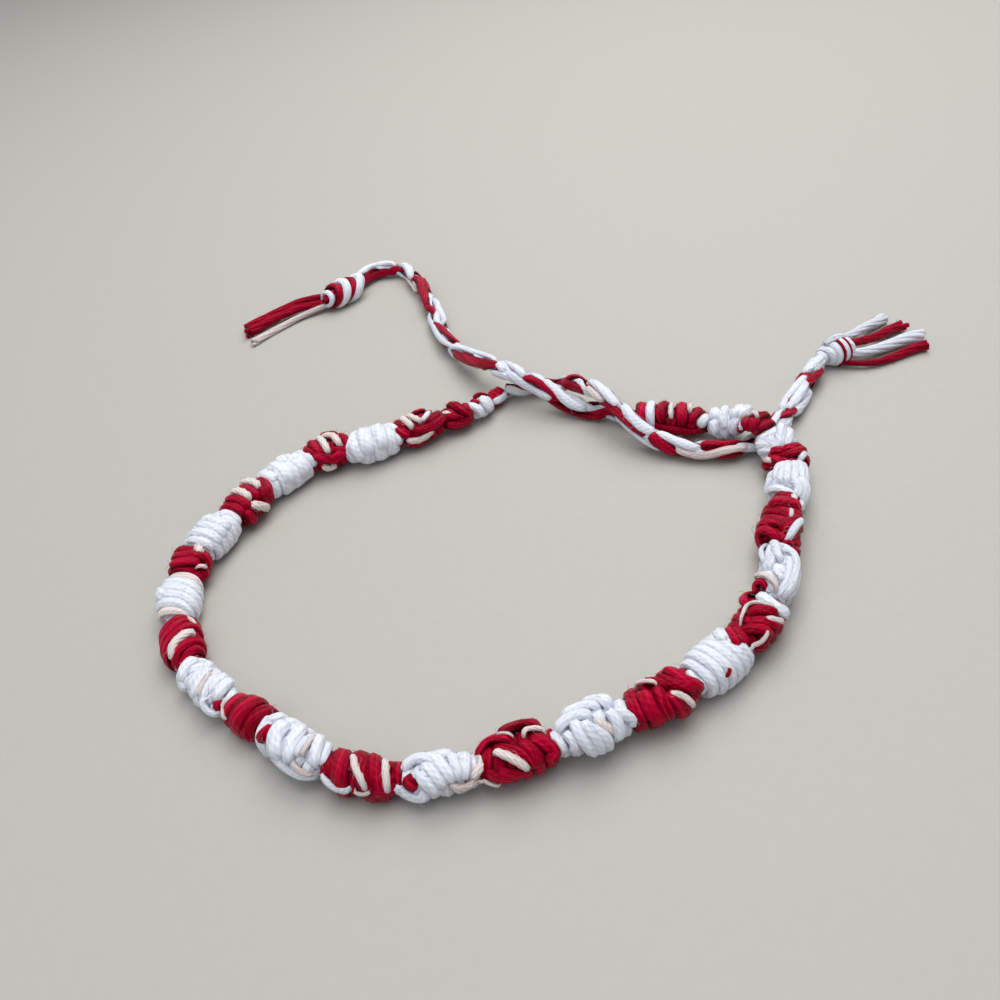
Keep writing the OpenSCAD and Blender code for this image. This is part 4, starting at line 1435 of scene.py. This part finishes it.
@dataclass
class EndKnot:
    """The overhand knot at a tie's end: wraps of floss round the braid."""

    node: str
    start: tuple[float, float]
    end: tuple[float, float]
    width: float
    height: float
    wraps: tuple[Wrap, ...]
    core: Floss
    lowest: float = 0.48
    end_share: float = 0.72
    end_power: float = 3.0
    wrap_angle: float = 8.0
    wrap_flat: float = 0.7
    wrap_sink: float = 0.36
    core_reach: float = 0.1
    core_inset: float = 1.3
    core_taper: float = 0.7
    core_points: int = 10
    phases: tuple[float, float] = (0, 6)

    def build(self, materials: list[bpy.types.Material]) -> bpy.types.Object:
        """Make the knot's core and wraps.

        Args:
            materials: The materials in the order of Floss.

        Returns:
            The knot's object.
        """
        a, b = np.array(self.start), np.array(self.end)
        ahead = unit(b - a)
        side = np.array([ahead[1], -ahead[0]])
        rng = np.random.default_rng(SEED + 1)
        piece = FlossPiece(f"{self.node}_floss", [self.middle(a, b)])
        centre = self.lowest * self.height
        angle = np.radians(np.arange(0, 360, self.wrap_angle))
        for wrap in self.wraps:
            t = wrap.middle + wrap.slant * np.cos(angle) + wrap.lean * np.sin(angle)
            size = barrel(2 * t - 1, self.end_share, self.end_power)
            sink = self.wrap_sink * wrap.width - wrap.stand
            across = np.cos(angle) * (self.width * size / 2 - sink)
            rise = np.sin(angle) * (self.height * size / 2 - sink)
            p = np.column_stack([a + (b - a) * t[:, None] + side * across[:, None], centre + rise])
            out = np.column_stack([side * np.cos(angle)[:, None], np.sin(angle)])
            both = evenly(np.column_stack([p, out]), STEP, closed=True)
            piece.strands.append(Strand(both[:, :3], wrap.width, wrap.floss, both[:, 3:], closed=True,
                                        flat=self.wrap_flat, tone=rng.uniform(*CALM_TONES),
                                        phase=rng.uniform(*self.phases)))
        piece.fuzz(rng)
        made = piece.build(materials)
        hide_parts(self.node)
        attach(made, BODY)
        return made

    def middle(self, a: np.ndarray, b: np.ndarray) -> Strand:
        """The bundle of floss that the wraps lie round.

        Args:
            a: The start of the knot.
            b: Its end.

        Returns:
            The strand.
        """
        count = self.core_points
        place = np.linspace(-self.core_reach, 1 + self.core_reach, count)
        way = np.column_stack([a + (b - a) * place[:, None], np.full(count, self.lowest * self.height)])
        wide, high = self.width - self.core_inset, self.height - self.core_inset
        taper = 1 - self.core_taper * np.abs(2 * np.linspace(0, 1, count) - 1) ** 3
        return Strand(way, wide, self.core, np.tile([0, 0, 1.0], (count, 1)), flat=high / wide, tone=0.3,
                      turn_length=30, swell=taper)


KNOT_LEFT_WRAPS = (
    Wrap(0.02, 0.02, 0.0, WHITE, 1.1, -0.45), Wrap(0.2, 0.08, 0.0, WHITE, 1.1, -0.35),
    Wrap(0.4, 0.04, 0.02, WHITE, 1.1, -0.1), Wrap(0.52, 0.02, 0.03, RED, 0.4, 0.05),
    Wrap(0.64, 0.02, 0.03, WHITE, 0.9, 0.05), Wrap(0.77, 0.02, 0.03, RED, 0.45, 0.05),
    Wrap(0.92, 0.03, 0.03, WHITE, 1.1, 0.0),
)
KNOT_RIGHT_WRAPS = (
    Wrap(0.14, 0.0, -0.27, WHITE, 1.5, 0.2), Wrap(0.36, 0.0, -0.24, RED, 1.1, -0.1),
    Wrap(0.58, 0.0, -0.2, WHITE, 1.4, 0.1), Wrap(0.8, 0.0, -0.16, RED, 1.1, 0.0),
    Wrap(0.97, 0.0, -0.06, WHITE, 0.9, -0.2),
)


@dataclass(frozen=True)
class CutEnd:
    """A cut end of floss: its route from inside its knot to its tip, and its widths there."""

    floss: Floss
    route: tuple[tuple[float, float, float], ...]
    root: float
    tip: float


TASSEL_LEFT = (
    CutEnd(WHITE, ((40.9, 22.4, 2.6), (42.2, 22.8, 3.0), (44.4, 24.2, 2.1), (47.6, 27.0, 1.1),
                   (49.6, 28.4, 0.6), (51.3, 29.5, 0.65)), 1.0, 1.35),
    CutEnd(RED, ((41.6, 22.6, 2.0), (42.9, 22.8, 2.0), (47.2, 24.4, 1.1), (50.4, 26.2, 0.7),
                 (52.4, 26.9, 0.65)), 0.9, 1.35),
    CutEnd(WHITE, ((41.4, 22.2, 1.6), (42.5, 22.0, 1.5), (45.2, 21.9, 1.1), (48.3, 22.8, 0.8),
                   (51.3, 23.8, 0.7), (53.3, 24.0, 0.75)), 1.2, 1.6),
    CutEnd(RED, ((41.2, 21.6, 1.1), (42.2, 21.1, 0.9), (45.5, 20.3, 0.6), (48.4, 20.9, 0.45),
                 (50.8, 21.7, 0.5), (53.0, 22.1, 0.65)), 0.55, 1.35),
)
TASSEL_RIGHT = (
    CutEnd(RED, ((-16.6, 57.2, 1.7), (-18.4, 57.0, 1.7), (-22.1, 57.6, 1.2), (-26.4, 55.5, 0.85),
                 (-30.1, 53.0, 0.65)), 1.15, 1.4),
    CutEnd(WHITE, ((-16.6, 56.8, 0.9), (-18.4, 56.3, 0.7), (-22.0, 56.4, 0.4), (-26.0, 54.4, 0.35),
                   (-28.6, 52.4, 0.35)), 0.6, 0.6),
    CutEnd(RED, ((-16.6, 56.8, 1.4), (-18.4, 56.2, 1.2), (-22.2, 56.4, 0.9), (-26.3, 54.3, 0.7),
                 (-29.5, 51.7, 0.65)), 1.15, 1.4),
    CutEnd(CREAM, ((-16.6, 56.4, 1.2), (-18.9, 55.6, 0.9), (-22.1, 54.5, 0.5), (-25.9, 51.7, 0.35),
                   (-28.6, 49.2, 0.45)), 0.85, 1.1),
)


@dataclass
class Tassel:
    """Four cut ends of floss behind a knot, each of six plies that part towards its tip."""

    node: str
    ends: tuple[CutEnd, ...]
    plies: int = 6
    turns: float = 0.8
    ply: float = 0.44
    ply_turn: float = 1.6
    ply_sides: int = 10
    spread: float = 0.27
    parting: float = 0.25
    flat: float = 0.8
    step: float = 0.3
    fibre_every: float = 0.8

    def build(self, materials: list[bpy.types.Material]) -> bpy.types.Object:
        """Sweep each end's plies from the knot to its tip.

        Args:
            materials: The materials in the order of Floss.

        Returns:
            The tassel's object.
        """
        rng = np.random.default_rng(SEED + 2)
        piece = FlossPiece(f"{self.node}_floss")
        for number, end in enumerate(self.ends):
            line = evenly(smooth(np.array(end.route), 10), self.step)
            t = np.linspace(0, 1, len(line))
            size = end.root + (end.tip - end.root) * t
            d = unit(np.gradient(line, axis=0))
            side = unit(np.column_stack([-d[:, 1], d[:, 0], np.zeros(len(d))]))
            up = np.cross(d, side)
            for ply in range(self.plies):
                turn = 2 * np.pi * (ply / self.plies + t * self.turns) + number
                reach = size * self.spread * (1 + self.parting * t**3)
                aside, rise = np.cos(turn) * reach, np.sin(turn) * reach * self.flat
                p = line + side * aside[:, None] + up * rise[:, None]
                keep = len(p) - int(rng.integers(0, 3))
                piece.strands.append(Strand(p[:keep], self.ply, end.floss, tone=rng.uniform(*TONES),
                                            turn_length=self.ply_turn, sides=self.ply_sides, flat=1.0,
                                            groove=0.0, swell=size[:keep]))
        piece.fuzz(rng, self.fibre_every)
        made = piece.build(materials)
        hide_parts(self.node)
        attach(made, BODY)
        return made


# ---------------------------------------------------------------- camera, floor and light


@dataclass(frozen=True)
class PhotoCamera:
    """The photograph's camera: its place in millimetres, its angles in degrees, its focal length in pixels.

    The frame is that of the photograph, in pixels, and the sensor's width is in millimetres.
    """

    place: tuple[float, float, float] = (1.5, -68.0, 63.0)
    pitch: float = 39.7
    roll: float = 9.5
    focal_px: float = 950.0
    frame_px: float = 1000.0
    sensor: float = 36.0

    def build(self) -> bpy.types.Object:
        """Make it the scene's camera.

        Returns:
            The camera's object.
        """
        pitch, roll = math.radians(self.pitch), math.radians(self.roll)
        forward = Vector((0, math.cos(pitch), -math.sin(pitch)))
        right = Vector((1, 0, 0))
        down = forward.cross(right)
        across = right * math.cos(roll) + down * math.sin(roll)
        below = down * math.cos(roll) - right * math.sin(roll)
        data = bpy.data.cameras.new("photo_camera")
        data.sensor_width = self.sensor
        data.lens = self.focal_px / self.frame_px * self.sensor
        data.clip_start, data.clip_end = 0.005, 5.0
        made = bpy.data.objects.new("photo_camera", data)
        turned = Matrix((across, -below, -forward)).transposed().to_4x4()
        made.matrix_world = Matrix.Translation(Vector(self.place) * MM) @ turned
        bpy.context.scene.collection.objects.link(made)
        bpy.context.scene.camera = made
        return made


@dataclass(frozen=True)
class SoftLight:
    """An area light: its place and size in millimetres, and its power in watts."""

    name: str
    place: tuple[float, float, float]
    size: float
    power: float
    colour: tuple[float, float, float] = (1.0, 1.0, 1.0)

    def build(self) -> bpy.types.Object:
        """Add the light, turned to the bracelet.

        Returns:
            The light's object.
        """
        data = bpy.data.lights.new(self.name, "AREA")
        data.size = self.size * MM
        data.energy = self.power
        data.color = self.colour
        made = bpy.data.objects.new(self.name, data)
        place = Vector(self.place) * MM
        made.location = place
        made.rotation_euler = (-place).to_track_quat("-Z", "Y").to_euler()
        bpy.context.scene.collection.objects.link(made)
        return made


LIGHTS = (
    SoftLight("overhead", (40.0, 60.0, 420.0), 380.0, 1.25, (0.97, 0.98, 1.0)),
    SoftLight("window", (90.0, 230.0, 260.0), 220.0, 0.5, (1.0, 0.99, 0.97)),
    SoftLight("room_fill", (-160.0, -120.0, 240.0), 200.0, 0.14, (0.9, 0.95, 1.0)),
)


@dataclass(frozen=True)
class Studio:
    """A plain pale floor and soft light from behind on the right."""

    floor_size: float = 3000.0
    floor_colour: tuple[float, float, float] = (0.46, 0.44, 0.40)
    floor_roughness: float = 0.6
    grain_shade: float = 0.94
    grain_scale: float = 900.0
    sky: tuple[float, float, float] = (0.93, 0.96, 1.0)
    sky_strength: float = 0.4
    lights: tuple[SoftLight, ...] = LIGHTS

    def build(self) -> None:
        """Make the floor, the lights and the sky's light."""
        bpy.ops.object.select_all(action="DESELECT")
        bpy.ops.mesh.primitive_plane_add(size=self.floor_size * MM, location=(0, 0, 0))
        floor = bpy.context.object
        floor.name = "floor"
        shader = Shader("floor_paint")
        grain = shader.noise(shader.node("ShaderNodeTexCoord", {}, output="Object"), self.grain_scale, 2.0)
        dark = tuple(self.grain_shade * c for c in self.floor_colour)
        colour = shader.blend(grain, (*dark, 1), (*self.floor_colour, 1))
        shader.set(shader.surface.inputs["Base Color"], colour)
        shader.set(shader.surface.inputs["Roughness"], self.floor_roughness)
        floor.data.materials.append(shader.material)
        world = bpy.data.worlds.new("room")
        world.use_nodes = True
        background = world.node_tree.nodes["Background"]
        background.inputs["Color"].default_value = (*self.sky, 1)
        background.inputs["Strength"].default_value = self.sky_strength
        bpy.context.scene.world = world
        bpy.context.scene.view_settings.view_transform = "Standard"
        for light in self.lights:
            light.build()


def main() -> None:
    """Build the bracelet's pieces in order."""
    logging.basicConfig(level=logging.INFO, format="%(message)s")
    PhotoCamera().build()
    materials = [FINISHES[floss].build() for floss in Floss]
    left = BraidedTie("tie_left", TIE_LEFT_ROUTE, TIE_LEFT_RUNS)
    right = BraidedTie("tie_right", TIE_RIGHT_ROUTE, TIE_RIGHT_RUNS)
    braids = [tie.build(materials) for tie in (left, right)]
    knots = [
        EndKnot("end_knot_left", start=(40.3, 21.7), end=(43.7, 22.9), width=3.6, height=3.2,
                wraps=KNOT_LEFT_WRAPS, core=WHITE).build(materials),
        EndKnot("end_knot_right", start=(-13.9, 59.3), end=(-18.0, 55.9), width=4.2, height=3.5,
                wraps=KNOT_RIGHT_WRAPS, core=RED).build(materials),
    ]
    tassels = [
        Tassel("tassel_left", TASSEL_LEFT).build(materials),
        Tassel("tassel_right", TASSEL_RIGHT).build(materials),
    ]
    for tie, braid, knot, tassel in zip((left, right), braids, knots, tassels):
        tie.declare(braid, [knot, tassel])
        LOG.info("%s: %.1f mm long", tie.node, lengths(tie.path())[-1])
    nodes = [node for node in frame["nodes"] if "_knots_" in node]
    nodes.sort(key=lambda node: int(node.rsplit("_", 1)[1]))
    for piece in (*braids, *knots, *tassels, *KnottedBand().build(nodes, materials)):
        LOG.info("%s: %d faces", piece.name, len(piece.data.polygons))
    total = sum(len(o.data.polygons) for o in bpy.data.objects if o.type == "MESH")
    LOG.info("all meshes: %d faces", total)
    Studio().build()


if __name__ == "__main__":
    main()
